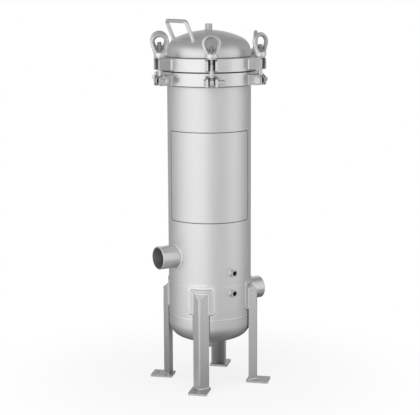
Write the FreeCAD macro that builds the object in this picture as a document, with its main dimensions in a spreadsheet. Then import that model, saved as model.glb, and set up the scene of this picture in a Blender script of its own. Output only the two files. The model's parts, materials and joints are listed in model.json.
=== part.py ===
import FreeCAD, Part

import math
import os
import re

import Sketcher
from FreeCAD import Placement, Rotation, Vector

# Multi-cartridge filter housing: a stainless steel pressure vessel for five
# cartridges, on four angle legs, with a swing bolt cover. The origin is on the
# floor under the vessel axis, +Z is up, the inlet points to -X, the outlet to
# +X and the two small couplings to -Y.

# Driving dimensions in millimetres and degrees. Each is written once, here.
SIZES = {
    # vessel
    "shell_radius": 109.55,
    "shell_wall": 3.0,
    "weld_gap": 0.05,
    "running_gap": 0.05,
    "lower_shell_height": 89.0,
    "upper_shell_height": 553.0,
    "head_floor_gap": 107.0,
    "head_crown_radius": 200.0,
    "head_knuckle_radius": 42.0,
    "head_skirt": 22.0,
    "cover_skirt": 10.8,
    "tube_sheet_thickness": 10.0,
    "tube_sheet_gap": 0.1,
    # flanges and seal
    "flange_ring_width": 13.5,
    "body_flange_height": 34.5,
    "cover_flange_height": 36.0,
    "flange_above_shell": 4.0,
    "flange_chamfer": 1.0,
    "rim_gap": 1.6,
    "rim_width": 3.2,
    "seal_inset": 3.8,
    "seal_width": 5.8,
    "seal_depth": 4.4,
    "seal_side_gap": 0.2,
    "seal_corner": 1.6,
    # connections
    "pipe_radius": 30.15,
    "pipe_wall": 2.8,
    "pipe_projection": 50.5,
    "pipe_bevel": 1.4,
    "inlet_above_sheet": 75.5,
    "outlet_below_sheet": 42.0,
    "coupling_radius": 9.0,
    "coupling_bore_radius": 5.75,
    "coupling_countersink": 0.8,
    "coupling_inside": 1.5,
    "port_projection": 11.5,
    "port_above_sheet": 37.0,
    "port_below_sheet": 17.0,
    "vent_projection": 16.0,
    "drain_projection": 18.0,
    # legs
    "leg_count": 4,
    "leg_width": 30.0,
    "leg_thickness": 3.0,
    "cap_thickness": 3.0,
    "cap_slope": 37.0,
    "leg_pad_thickness": 2.0,
    "leg_pad_height": 78.0,
    "leg_pad_half_angle": 18.7,
    "leg_pad_corner": 8.0,
    "leg_pad_above_seam": 15.4,
    "leg_top_below_pad_top": 19.6,
    "foot_length": 58.5,
    "foot_width": 48.5,
    "foot_thickness": 6.0,
    "foot_corner": 2.0,
    "foot_behind_ridge": 28.0,
    "anchor_beyond_ridge": 16.0,
    "anchor_hole_radius": 6.0,
    # cover clamps
    "clamp_count": 6,
    "bolt_beyond_flange": 24.5,
    "lug_reach": 10.0,
    "ear_width": 29.0,
    "ear_height": 29.5,
    "ear_slot": 18.0,
    "ear_top_round": 7.0,
    "ear_bottom_round": 3.0,
    "cheek_thickness": 6.0,
    "cheek_gap": 18.0,
    "cheek_height": 26.0,
    "cheek_top_round": 9.0,
    "cheek_bottom_round": 3.0,
    "pin_below_seam": 20.5,
    "pin_radius": 6.0,
    "pin_head_radius": 8.5,
    "pin_head_height": 4.5,
    "pin_projection": 18.0,
    "pin_washer_radius": 10.0,
    "pin_washer_thickness": 2.0,
    "split_pin_radius": 1.5,
    "split_pin_overhang": 7.0,
    "split_pin_eye_radius": 2.2,
    "bolt_eye_radius": 12.5,
    "bolt_eye_width": 11.0,
    "shank_radius": 5.45,
    "shank_above_ear": 34.0,
    "shank_chamfer": 1.2,
    "washer_radius": 12.0,
    "washer_thickness": 2.5,
    "washer_lift": 0.5,
    "hub_radius": 15.0,
    "hub_height": 11.7,
    "hub_round": 3.0,
    "hub_top_round": 1.5,
    "loop_bar_radius": 5.25,
    "loop_radius": 18.4,
    "loop_centre_above_hub": 25.3,
    "loop_foot_spacing": 9.4,
    "loop_foot_depth": 5.5,
    "nut_turn_1": -32.5,
    "nut_turn_2": 0.0,
    "nut_turn_3": -62.5,
    "nut_turn_4": 57.5,
    "nut_turn_5": 0.0,
    "nut_turn_6": -27.5,
    # lifting handle
    "handle_azimuth": 179.0,
    "handle_inset": 29.8,
    "handle_height": 45.0,
    "handle_span": 99.0,
    "handle_bar_radius": 5.0,
    "handle_bend": 9.0,
    "handle_root": 24.0,
    # cartridges
    "cartridge_count": 5,
    "cartridge_length": 508.0,
    "cap_radius": 35.0,
    "cap_height": 12.0,
    "cap_wall_gap": 4.5,
    "spigot_radius": 27.9,
    "spigot_length": 22.0,
    "spigot_seat_gap": 0.1,
    "spigot_groove_width": 4.0,
    "spigot_groove_depth": 2.6,
    "spigot_groove_pitch": 5.5,
    "spigot_groove_below_top": 2.5,
    "adapter_bore_radius": 20.0,
    "cage_radius": 33.5,
    "cage_wall": 1.5,
    "cage_rows": 4,
    "cage_columns": 3,
    "window_height": 95.0,
    "window_width": 14.0,
    "window_pitch": 119.0,
    "pleat_count": 20,
    "pleat_outer_radius": 31.6,
    "pleat_inner_radius": 20.8,
    "pleat_thickness": 1.6,
    "core_radius": 19.0,
    "core_wall": 2.0,
    "fin_radius": 12.0,
    "fin_length": 34.0,
    "fin_thickness": 3.0,
    "rod_radius": 6.0,
    "rod_above_plate": 26.0,
    "rod_below_sheet": 6.0,
    "plate_thickness": 3.0,
    "plate_wall_gap": 6.5,
    "plate_hole_gap": 0.6,
    "rod_washer_radius": 14.0,
    "rod_washer_thickness": 2.5,
    "rod_nut_width": 18.0,
    "rod_nut_height": 10.0,
}

# Sizes worked out from the driving dimensions.
DERIVED = {
    "shell_bore": "shell_radius - shell_wall",
    # A dished head: a large crown arc and a knuckle arc that meets the skirt.
    "head_centre_drop": "sqrt((head_crown_radius - head_knuckle_radius)^2"
                        " - (shell_radius - head_knuckle_radius)^2)",
    "head_depth": "head_crown_radius - head_centre_drop",
    "head_tangent": "head_floor_gap + head_depth",
    "bottom_seam": "head_tangent + head_skirt",
    "sheet_seam": "bottom_seam + lower_shell_height",
    "sheet_top": "sheet_seam + tube_sheet_thickness / 2",
    "sheet_bottom": "sheet_seam - tube_sheet_thickness / 2",
    "shell_top": "sheet_seam + upper_shell_height",
    "flange_seam": "shell_top + flange_above_shell",
    "flange_foot": "flange_seam - body_flange_height",
    "flange_top": "flange_seam + cover_flange_height",
    "flange_bore": "shell_radius + weld_gap",
    "flange_radius": "shell_radius + flange_ring_width",
    "cover_tangent": "flange_top + cover_skirt",
    "cover_rim": "flange_seam + flange_above_shell",
    "inlet_height": "sheet_seam + inlet_above_sheet",
    "outlet_height": "sheet_seam - outlet_below_sheet",
    "upper_port_height": "sheet_seam + port_above_sheet",
    "lower_port_height": "sheet_seam - port_below_sheet",
    "pipe_hole": "pipe_radius + weld_gap",
    "coupling_hole": "coupling_radius + weld_gap",
    "seal_inner": "shell_radius + seal_inset",
    "seal_outer": "seal_inner + seal_width",
    # legs
    "pad_radius": "shell_radius + leg_pad_thickness",
    "leg_half": "leg_width * sqrt(0.5)",
    "leg_step": "leg_thickness * sqrt(0.5)",
    "ridge": "sqrt(pad_radius^2 - leg_half^2) + leg_half",
    "pad_foot": "bottom_seam + leg_pad_above_seam",
    "pad_top": "pad_foot + leg_pad_height",
    "leg_top": "pad_top - leg_top_below_pad_top",
    "anchor_radius": "ridge + anchor_beyond_ridge",
    # clamps
    "bolt_circle": "flange_radius + bolt_beyond_flange",
    "lug_end": "bolt_circle + lug_reach",
    "ear_foot": "flange_top - ear_height",
    "cheek_foot": "pin_height - cheek_height / 2",
    "cheek_top": "pin_height + cheek_height / 2",
    "cheek_side": "cheek_gap / 2 + cheek_thickness",
    "pin_height": "flange_seam - pin_below_seam",
    "pin_end": "cheek_side + pin_projection",
    "split_pin_place": "cheek_side + pin_washer_thickness + split_pin_radius + running_gap",
    "ear_above_pin": "flange_top - pin_height",
    "washer_foot": "ear_above_pin + washer_lift",
    "hub_foot": "washer_foot + washer_thickness",
    "hub_top": "hub_foot + hub_height",
    "shank_end": "ear_above_pin + shank_above_ear",
    "handle_radius": "shell_radius - handle_inset",
    # The handle stands square to the dome.
    "handle_lean": "asin(handle_radius / head_crown_radius)",
    # cartridges
    "cartridge_circle": "shell_bore - cap_radius - cap_wall_gap",
    "cartridge_top": "sheet_top + cartridge_length",
    "seat_radius": "spigot_radius + spigot_seat_gap",
    "plate_top": "cartridge_top + plate_thickness",
}

# Directions round the vessel axis, in degrees from +X.
INLET_AZIMUTH = 180
OUTLET_AZIMUTH = 0
PORT_AZIMUTH = 270
FIRST_LEG_AZIMUTH = 45
LEG_CORNERS = ("rear_right", "rear_left", "front_left", "front_right")

PARTS_FOLDER = "parts"
NODE_LIMIT = 60

document = FreeCAD.newDocument("FilterHousing")
sheet = document.addObject("Spreadsheet::Sheet", "Sizes")
for row, (name, size) in enumerate(SIZES.items(), start=1):
    sheet.set(f"A{row}", name)
    sheet.set(f"B{row}", str(size))
    sheet.setAlias(f"B{row}", name)
document.recompute()

subparts = []
# Distance from the vessel axis at which a body's sketches stand.
standing_at = {}


# Expressions and values

def expression(text):
    """Write a sum of named sizes as references to the sheet's cells."""
    def cell(match):
        name = match.group(0)
        if name in DERIVED:
            return "(" + expression(DERIVED[name]) + ")"
        return "Sizes." + name if name in SIZES else name
    return re.sub(r"[a-z][a-z0-9_]*", cell, text)


def value(text):
    result = sheet.evalExpression(expression(text))
    return float(getattr(result, "Value", result))


# Bodies, sketches and features

def new_body(label, kept=True):
    body = document.addObject("PartDesign::Body", label)
    body.Label = label
    body.AllowCompound = True
    if kept:
        subparts.append(body)
    return body


def origin_feature(body, role):
    return next(item for item in body.Origin.OriginFeatures if item.Role == role)


def sketch_on(body, role, name, offset=None):
    sketch = body.newObject("Sketcher::SketchObject", body.Name + "_" + name)
    sketch.AttachmentSupport = [(origin_feature(body, role), "")]
    sketch.MapMode = "FlatFace"
    if body.Name in standing_at:
        sketch.setExpression("AttachmentOffset.Base.x", expression(standing_at[body.Name]))
    if offset is not None:
        sketch.setExpression("AttachmentOffset.Base.z", expression(offset))
    return sketch


def hold(sketch, geometry, point, x=None, y=None):
    """Tie a point of the sketch to the sizes that give its place."""
    for kind, place in (("DistanceX", x), ("DistanceY", y)):
        if place is not None:
            rule = Sketcher.Constraint(kind, -1, 1, geometry, point, value(place))
            index = sketch.addConstraint(rule)
            sketch.setExpression(f"Constraints[{index}]", expression(place))


def turned_arc(start, end, centre):
    """The arc of less than half a turn, and its ends in the order start, end."""
    first = math.atan2(start.y - centre.y, start.x - centre.x)
    last = math.atan2(end.y - centre.y, end.x - centre.x)
    circle = Part.Circle(centre, Vector(0, 0, 1), (start - centre).Length)
    if (last - first) % math.tau < math.pi:
        return Part.ArcOfCircle(circle, first, last), (1, 2)
    return Part.ArcOfCircle(circle, last, first), (2, 1)


def outline(sketch, corners, closed=True):
    """Lines and arcs through the corners.

    A corner is (x, y), reached by a line, or (x, y, centre x, centre y),
    reached by an arc round that centre.
    """
    places = [Vector(value(corner[0]), value(corner[1]), 0) for corner in corners]
    edges = []
    for index, corner in enumerate(corners):
        if index == 0 and not closed:
            continue
        start, end = places[index - 1], places[index]
        if len(corner) == 2:
            geometry = sketch.addGeometry(Part.LineSegment(start, end), False)
            ends = (1, 2)
        else:
            centre = Vector(value(corner[2]), value(corner[3]), 0)
            arc, ends = turned_arc(start, end, centre)
            geometry = sketch.addGeometry(arc, False)
            # One coordinate of the centre fixes the arc between its two ends.
            if abs(end.y - start.y) > abs(end.x - start.x):
                hold(sketch, geometry, 3, x=corner[2])
            else:
                hold(sketch, geometry, 3, y=corner[3])
        hold(sketch, geometry, ends[1], corner[0], corner[1])
        edges.append((geometry, ends))
    if not closed:
        hold(sketch, edges[0][0], edges[0][1][0], corners[0][0], corners[0][1])
    for before, after in zip(edges, edges[1:] + (edges[:1] if closed else [])):
        joint = Sketcher.Constraint("Coincident", before[0], before[1][1], after[0], after[1][0])
        sketch.addConstraint(joint)
    return edges


def ring(sketch, x, y, radius):
    centre = Vector(value(x), value(y), 0)
    circle = Part.Circle(centre, Vector(0, 0, 1), value(radius))
    geometry = sketch.addGeometry(circle, False)
    hold(sketch, geometry, 3, x, y)
    index = sketch.addConstraint(Sketcher.Constraint("Radius", geometry, value(radius)))
    sketch.setExpression(f"Constraints[{index}]", expression(radius))


def rectangle(sketch, left, right, low, high):
    outline(sketch, [(left, low), (right, low), (right, high), (left, high)])


def revolve(body, name, corners, half_angle=None):
    """Turn a profile in the plane of radius and height about the body's axis."""
    sketch = sketch_on(body, "XZ_Plane", name + "_profile")
    outline(sketch, corners)
    feature = body.newObject("PartDesign::Revolution", body.Name + "_" + name)
    feature.Profile = sketch
    feature.ReferenceAxis = (sketch, ["V_Axis"])
    if half_angle is None:
        feature.Angle = 360
    else:
        feature.Midplane = True
        feature.setExpression("Angle", expression("2 * " + half_angle))
    return feature


def pad(body, name, sketch, length, symmetric=False):
    feature = body.newObject("PartDesign::Pad", body.Name + "_" + name)
    feature.Profile = sketch
    if symmetric:
        feature.SideType = "Symmetric"
    feature.setExpression("Length", expression(length))
    return feature


def pocket(body, name, sketch, sides="Symmetric", reverse=False, length=None):
    """Cut the sketch through the body, or to a length."""
    feature = body.newObject("PartDesign::Pocket", body.Name + "_" + name)
    feature.Profile = sketch
    feature.SideType = sides
    feature.Reversed = reverse
    if length is None:
        feature.Type = "ThroughAll"
    else:
        feature.setExpression("Length", expression(length))
    return feature


def cut_cylinder(body, name, radius, role="XY_Plane"):
    """Cut away what lies within a radius of an axis of the body."""
    sketch = sketch_on(body, role, name + "_circle")
    ring(sketch, "0", "0", radius)
    return pocket(body, name, sketch)


def repeat(body, name, count, originals=None, axis=None, span="360"):
    pattern = body.newObject("PartDesign::PolarPattern", body.Name + "_" + name)
    if originals is None:
        pattern.TransformMode = "Whole shape"
    else:
        pattern.Originals = originals
    pattern.Axis = axis or (origin_feature(body, "Z_Axis"), [""])
    pattern.setExpression("Angle", expression(span))
    pattern.setExpression("Occurrences", count)
    body.Tip = pattern
    return pattern


def place(item, x="0", y="0", z="0", rotation=None):
    item.Placement = Placement(Vector(value(x), value(y), value(z)), rotation or Rotation())
    for axis, text in (("x", x), ("y", y), ("z", z)):
        item.setExpression("Placement.Base." + axis, expression(text))


def turn(degrees):
    return Rotation(Vector(0, 0, 1), degrees)


def rounded_corners(left, right, low, high, radius):
    """Corners of a rectangle whose four corners are rounded."""
    inner_left, inner_right = f"{left} + {radius}", f"{right} - {radius}"
    inner_low, inner_high = f"{low} + {radius}", f"{high} - {radius}"
    return [
        (inner_left, low, inner_left, inner_low),
        (inner_right, low),
        (right, inner_low, inner_right, inner_low),
        (right, inner_high),
        (inner_right, high, inner_right, inner_high),
        (inner_left, high),
        (left, inner_high, inner_left, inner_high),
        (left, inner_low)]


# Vessel

def head_corners(tangent, rim, sign, hole):
    """Section of a dished head with a straight skirt and a hole at its pole."""
    centre = f"{tangent} {sign[1]} head_centre_drop"

    def height(amount):
        return f"{tangent} {sign[0]} {amount}"

    reach = "(head_crown_radius - head_knuckle_radius)"
    half = "(shell_radius - head_knuckle_radius)"
    outer_joint = (f"{half} * head_crown_radius / {reach}",
                   height(f"head_centre_drop * head_knuckle_radius / {reach}"))
    inner_joint = (f"{half} * (head_crown_radius - shell_wall) / {reach}",
                   height(f"head_centre_drop * (head_knuckle_radius - shell_wall) / {reach}"))
    outer_pole = f"{centre} {sign[0]} sqrt(head_crown_radius^2 - {hole}^2)"
    inner_pole = f"{centre} {sign[0]} sqrt((head_crown_radius - shell_wall)^2 - {hole}^2)"
    knuckle = ("shell_radius - head_knuckle_radius", tangent)
    return [
        ("shell_bore", rim),
        ("shell_radius", rim),
        ("shell_radius", tangent),
        outer_joint + knuckle,
        (hole, outer_pole, "0", centre),
        (hole, inner_pole),
        inner_joint + ("0", centre),
        ("shell_bore", tangent) + knuckle,
    ]


def shell(label, low, high, stub_height, stub_forward, port_height):
    """A length of the vessel's tube with a pipe hole and a coupling hole."""
    body = new_body(label)
    revolve(body, "wall", [("shell_bore", low), ("shell_radius", low),
                           ("shell_radius", high), ("shell_bore", high)])
    sketch = sketch_on(body, "YZ_Plane", "pipe_circle")
    ring(sketch, "0", stub_height, "pipe_hole")
    pocket(body, "pipe_hole", sketch, "One side", reverse=stub_forward)
    sketch = sketch_on(body, "XZ_Plane", "port_circle")
    ring(sketch, "0", port_height, "coupling_hole")
    pocket(body, "port_hole", sketch, "One side", reverse=True)


def head(label, tangent, rim, sign):
    body = new_body(label)
    revolve(body, "dish", head_corners(tangent, rim, sign, "coupling_hole"))


def body_flange():
    """The lower ring, with the seal's groove in its top face."""
    body = new_body("body_flange")
    revolve(body, "ring", [
        ("flange_bore", "flange_foot + flange_chamfer"),
        ("flange_bore + flange_chamfer", "flange_foot"),
        ("flange_radius - flange_chamfer", "flange_foot"),
        ("flange_radius", "flange_foot + flange_chamfer"),
        ("flange_radius", "flange_seam - flange_chamfer"),
        ("flange_radius - flange_chamfer", "flange_seam"),
        ("seal_outer", "flange_seam"),
        ("seal_outer", "flange_seam - seal_depth"),
        ("seal_inner", "flange_seam - seal_depth"),
        ("seal_inner", "flange_seam"),
        ("flange_bore", "flange_seam"),
    ])


def cover_flange():
    """The upper ring. Its rim stands off, which leaves the dark line of the joint."""
    body = new_body("cover_flange")
    revolve(body, "ring", [
        ("flange_bore", "flange_seam"),
        ("flange_radius - rim_width", "flange_seam"),
        ("flange_radius - rim_width", "flange_seam + rim_gap"),
        ("flange_radius", "flange_seam + rim_gap"),
        ("flange_radius", "flange_top - flange_chamfer"),
        ("flange_radius - flange_chamfer", "flange_top"),
        ("flange_bore + flange_chamfer", "flange_top"),
        ("flange_bore", "flange_top - flange_chamfer"),
    ])


def flange_seal():
    body = new_body("flange_o_ring")
    revolve(body, "section", rounded_corners(
        "seal_inner + seal_side_gap", "seal_outer - seal_side_gap",
        "flange_seam - seal_depth", "flange_seam", "seal_corner"))


def tube_sheet():
    body = new_body("tube_sheet")
    revolve(body, "disc", [("rod_radius + running_gap", "sheet_bottom"),
                           ("shell_bore - tube_sheet_gap", "sheet_bottom"),
                           ("shell_bore - tube_sheet_gap", "sheet_top"),
                           ("rod_radius + running_gap", "sheet_top")])
    sketch = sketch_on(body, "XY_Plane", "seat_circle")
    ring(sketch, "cartridge_circle", "0", "seat_radius")
    seat = pocket(body, "seat", sketch)
    repeat(body, "seats", expression("cartridge_count"), [seat])


# Pipe stubs and couplings

def outward(azimuth):
    """Turns a piece that stands on its own Z so that it points away from the vessel."""
    angle = math.radians(azimuth)
    away = Vector(math.cos(angle), math.sin(angle), 0)
    side = Vector(math.sin(angle), -math.cos(angle), 0)
    return Rotation(Vector(0, 0, 1), side, away, "ZXY")


def pipe_stub(label, height, azimuth):
    """A pipe set into the shell, flush inside, with a weld bevel at its open end."""
    body = new_body(label)
    end = "shell_radius + pipe_projection"
    revolve(body, "pipe", [("pipe_radius - pipe_wall", "0"), ("pipe_radius", "0"),
                           ("pipe_radius", f"{end} - pipe_bevel"),
                           ("pipe_radius - pipe_bevel", end),
                           ("pipe_radius - pipe_wall", end)])
    cut_cylinder(body, "saddle", "shell_bore", "YZ_Plane")
    place(body, z=height, rotation=outward(azimuth))


def coupling_corners(low, high, mouth):
    """Section of a half coupling whose mouth is countersunk."""
    return [("coupling_bore_radius", low), ("coupling_radius", low),
            ("coupling_radius", high), ("coupling_bore_radius + coupling_countersink", high),
            ("coupling_bore_radius", mouth)]


def side_coupling(label, height, azimuth):
    body = new_body(label)
    end = "shell_radius + port_projection"
    revolve(body, "barrel", coupling_corners("0", end, f"{end} - coupling_countersink"))
    cut_cylinder(body, "saddle", "shell_bore", "YZ_Plane")
    place(body, z=height, rotation=outward(azimuth))


def pole_coupling(label, inner, outer, mouth):
    body = new_body(label)
    revolve(body, "barrel", coupling_corners(inner, outer, mouth))


# Legs

def cap_line(x):
    """Height of the sloped top of a leg at a distance from the vessel axis."""
    return f"leg_top - ({x} - pad_radius) * tan(cap_slope)"


def leg(label, azimuth):
    """An angle bar, outer corner away from the vessel, cut to the slope of its cap."""
    body = new_body(label)
    sketch = sketch_on(body, "XY_Plane", "angle", "foot_thickness")
    outline(sketch, [
        ("ridge", "0"),
        ("ridge - leg_half", "leg_half"),
        ("ridge - leg_half - leg_step", "leg_half - leg_step"),
        ("ridge - 2 * leg_step", "0"),
        ("ridge - leg_half - leg_step", "leg_step - leg_half"),
        ("ridge - leg_half", "-leg_half"),
    ])
    pad(body, "bar", sketch, "leg_top - foot_thickness")
    sketch = sketch_on(body, "XZ_Plane", "top_cut")
    inside, outside = "pad_radius - leg_width", "ridge + leg_width"
    outline(sketch, [(inside, cap_line(inside) + " - cap_thickness"),
                     (outside, cap_line(outside) + " - cap_thickness"),
                     (outside, "leg_top + leg_width"),
                     (inside, "leg_top + leg_width")])
    pocket(body, "slope", sketch)
    cut_cylinder(body, "saddle", "pad_radius")
    place(body, rotation=turn(azimuth))


def leg_caps():
    """Sloped triangular plates that close the tops of the legs."""
    body = new_body("leg_caps")
    inside, outside = "pad_radius - leg_thickness", "ridge"
    sketch = sketch_on(body, "XZ_Plane", "slope")
    outline(sketch, [(inside, cap_line(inside) + " - cap_thickness"),
                     (outside, cap_line(outside) + " - cap_thickness"),
                     (outside, cap_line(outside)),
                     (inside, cap_line(inside))])
    pad(body, "plate", sketch, "2 * leg_half", symmetric=True)
    sketch = sketch_on(body, "XY_Plane", "sides")
    beyond = "ridge + leg_width"
    outline(sketch, [("ridge", "0"), ("ridge - 2 * leg_half", "2 * leg_half"),
                     (beyond, "2 * leg_half"), (beyond, "-2 * leg_half"),
                     ("ridge - 2 * leg_half", "-2 * leg_half")])
    pocket(body, "triangle", sketch)
    cut_cylinder(body, "saddle", "pad_radius")
    repeat(body, "four", expression("leg_count"))
    place(body, rotation=turn(FIRST_LEG_AZIMUTH))


def leg_pads():
    """Curved doubling plates between the legs and the shell."""
    body = new_body("leg_pads")
    plate = revolve(body, "plate", [("shell_radius", "pad_foot"), ("pad_radius", "pad_foot"),
                                    ("pad_radius", "pad_top"), ("shell_radius", "pad_top")],
                    half_angle="leg_pad_half_angle")
    document.recompute()
    thickness = value("leg_pad_thickness")
    corners = [f"Edge{index}" for index, edge in enumerate(plate.Shape.Edges, start=1)
               if abs(edge.Length - thickness) < thickness / 100]
    rounding = body.newObject("PartDesign::Fillet", "leg_pads_corners")
    rounding.Base = (plate, corners)
    rounding.setExpression("Radius", expression("leg_pad_corner"))
    repeat(body, "four", expression("leg_count"))
    place(body, rotation=turn(FIRST_LEG_AZIMUTH))


def foot_plates():
    body = new_body("foot_plates")
    sketch = sketch_on(body, "XY_Plane", "plate")
    outline(sketch, rounded_corners(
        "ridge - foot_behind_ridge", "ridge - foot_behind_ridge + foot_length",
        "-foot_width / 2", "foot_width / 2", "foot_corner"))
    ring(sketch, "anchor_radius", "0", "anchor_hole_radius")
    pad(body, "plate", sketch, "foot_thickness")
    repeat(body, "four", expression("leg_count"))
    place(body, rotation=turn(FIRST_LEG_AZIMUTH))


# Cover clamps

def lug_corners(low, high, low_round, high_round):
    """Side of a lug: square at the flange, rounded at its outer corners."""
    root = "flange_radius - lug_reach"
    return [(root, low), (f"lug_end - {low_round}", low),
            ("lug_end", f"{low} + {low_round}", f"lug_end - {low_round}", f"{low} + {low_round}"),
            ("lug_end", f"{high} - {high_round}"),
            (f"lug_end - {high_round}", high,
             f"lug_end - {high_round}", f"{high} - {high_round}"),
            (root, high)]


def cover_lugs():
    """Ears on the cover's ring, slotted outwards so that the bolts swing clear."""
    body = new_body("cover_lugs")
    sketch = sketch_on(body, "XZ_Plane", "side")
    outline(sketch, lug_corners("ear_foot", "flange_top", "ear_bottom_round", "ear_top_round"))
    pad(body, "ear", sketch, "ear_width", symmetric=True)
    sketch = sketch_on(body, "XY_Plane", "slot")
    beyond = "lug_end + lug_reach"
    outline(sketch, [("bolt_circle", "-ear_slot / 2", "bolt_circle", "0"),
                     (beyond, "-ear_slot / 2"), (beyond, "ear_slot / 2"),
                     ("bolt_circle", "ear_slot / 2"),
                     ("bolt_circle - ear_slot / 2", "0", "bolt_circle", "0")])
    pocket(body, "slot", sketch)
    cut_cylinder(body, "saddle", "flange_radius")
    repeat(body, "six", expression("clamp_count"))


def clevis_lugs():
    """Pairs of cheeks on the body's ring that hold the pins."""
    body = new_body("clevis_lugs")
    sketch = sketch_on(body, "XZ_Plane", "side")
    outline(sketch, lug_corners("cheek_foot", "cheek_top", "cheek_bottom_round", "cheek_top_round"))
    pad(body, "block", sketch, "2 * cheek_side", symmetric=True)
    sketch = sketch_on(body, "XZ_Plane", "gap")
    rectangle(sketch, "flange_radius - 2 * lug_reach", "lug_end + lug_reach",
              "cheek_foot - cheek_height", "cheek_top + cheek_height")
    pocket(body, "gap", sketch, length="cheek_gap")
    sketch = sketch_on(body, "XZ_Plane", "pin_circle")
    ring(sketch, "bolt_circle", "pin_height", "pin_radius + running_gap")
    pocket(body, "pin_hole", sketch)
    cut_cylinder(body, "saddle", "flange_radius")
    repeat(body, "six", expression("clamp_count"))


def cross_disc(body, name, radius, low, high, bore=None):
    """A disc round the pin's axis, from low to high along it."""
    sketch = sketch_on(body, "XZ_Plane", name + "_circle", f"-({high})")
    ring(sketch, "bolt_circle", "pin_height", radius)
    if bore is not None:
        ring(sketch, "bolt_circle", "pin_height", bore)
    return pad(body, name, sketch, f"{high} - ({low})")


def clevis_pins():
    """Pins with a flat head on one side and a long plain end on the other."""
    body = new_body("clevis_pins")
    cross_disc(body, "shank", "pin_radius", "-cheek_side", "pin_end")
    cross_disc(body, "head", "pin_head_radius", "-cheek_side - pin_head_height", "-cheek_side")
    sketch = sketch_on(body, "XY_Plane", "cross_circle")
    ring(sketch, "bolt_circle", "split_pin_place", "split_pin_radius + running_gap")
    pocket(body, "cross_hole", sketch)
    repeat(body, "six", expression("clamp_count"))


def pin_washers():
    body = new_body("pin_washers")
    cross_disc(body, "disc", "pin_washer_radius", "cheek_side",
               "cheek_side + pin_washer_thickness", "pin_radius + running_gap")
    repeat(body, "six", expression("clamp_count"))


def split_pins():
    """Split pins through the clevis pins, drawn as a bar with a round eye above."""
    body = new_body("split_pins")
    low = "pin_height - pin_radius - split_pin_overhang"
    high = "pin_height + pin_radius + split_pin_overhang"
    sketch = sketch_on(body, "XY_Plane", "bar_circle", low)
    ring(sketch, "bolt_circle", "split_pin_place", "split_pin_radius")
    pad(body, "bar", sketch, f"{high} - split_pin_eye_radius + split_pin_radius / 2 - ({low})")
    sketch = sketch_on(body, "YZ_Plane", "eye", "bolt_circle")
    ring(sketch, "split_pin_place", high, "split_pin_eye_radius")
    ring(sketch, "split_pin_place", high, "split_pin_eye_radius - split_pin_radius")
    pad(body, "eye", sketch, "1.5 * split_pin_radius", symmetric=True)
    repeat(body, "six", expression("clamp_count"))


def at_clamp(body, azimuth, spin=0.0):
    """Stand a piece on the pin of the clamp at this azimuth."""
    place(body, f"bolt_circle * cos({azimuth})", f"bolt_circle * sin({azimuth})", "pin_height",
          turn(azimuth + spin))


def swing_bolt(number, azimuth):
    """An eye bolt: a round shank on a flat eye that turns on the clevis pin."""
    body = new_body(f"swing_bolt_{number}")
    revolve(body, "shank", [("0", "0"), ("shank_radius", "0"),
                            ("shank_radius", "shank_end - shank_chamfer"),
                            ("shank_radius - shank_chamfer", "shank_end"),
                            ("0", "shank_end")])
    sketch = sketch_on(body, "XZ_Plane", "eye_circle")
    ring(sketch, "0", "0", "bolt_eye_radius")
    pad(body, "eye", sketch, "bolt_eye_width", symmetric=True)
    sketch = sketch_on(body, "XZ_Plane", "pin_circle")
    ring(sketch, "0", "0", "pin_radius + running_gap")
    pocket(body, "pin_hole", sketch)
    at_clamp(body, azimuth)


def nut_washer(number, azimuth):
    body = new_body(f"washer_{number}")
    revolve(body, "disc", [("shank_radius + running_gap", "washer_foot"),
                           ("washer_radius", "washer_foot"),
                           ("washer_radius", "hub_foot"),
                           ("shank_radius + running_gap", "hub_foot")])
    at_clamp(body, azimuth)


def eye_nut(number, azimuth):
    """A nut with a pear shaped loop of round bar, to be turned by hand."""
    body = new_body(f"eye_nut_{number}")
    revolve(body, "hub", [
        ("0", "hub_foot"),
        ("hub_radius - hub_round", "hub_foot"),
        ("hub_radius", "hub_foot + hub_round", "hub_radius - hub_round", "hub_foot + hub_round"),
        ("hub_radius", "hub_top - hub_top_round"),
        ("hub_radius - hub_top_round", "hub_top",
         "hub_radius - hub_top_round", "hub_top - hub_top_round"),
        ("0", "hub_top"),
    ])
    path = sketch_on(body, "YZ_Plane", "path")
    centre = "hub_top + loop_centre_above_hub"
    drop = "(loop_centre_above_hub + loop_foot_depth)"
    # The straight limbs touch the top arc where a line from their foot is tangent to it.
    reach = f"sqrt({drop}^2 + loop_foot_spacing^2)"
    lean = f"asin(loop_radius / {reach}) - atan(loop_foot_spacing / {drop})"
    side, rise = f"loop_radius * cos({lean})", f"loop_radius * sin({lean})"
    foot = "hub_top - loop_foot_depth"
    edges = outline(path, [
        ("-loop_foot_spacing", foot),
        (f"-{side}", f"{centre} - {rise}"),
        ("0", f"{centre} + loop_radius", "0", centre),
        (side, f"{centre} - {rise}", "0", centre),
        ("loop_foot_spacing", foot),
    ], closed=False)
    document.recompute()
    section = body.newObject("Sketcher::SketchObject", body.Name + "_section")
    section.AttachmentSupport = [(path, "Edge1")]
    section.MapMode = "NormalToEdge"
    ring(section, "0", "0", "loop_bar_radius")
    loop = body.newObject("PartDesign::AdditivePipe", body.Name + "_loop")
    loop.Profile = section
    loop.Spine = (path, [f"Edge{index}" for index in range(1, len(edges) + 1)])
    sketch = sketch_on(body, "XY_Plane", "bore_circle", "hub_foot")
    ring(sketch, "0", "0", "shank_radius + running_gap")
    pocket(body, "bore", sketch, "One side", reverse=True, length="hub_height + loop_foot_depth")
    at_clamp(body, azimuth, value(f"nut_turn_{number}"))


# Lifting handle

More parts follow.
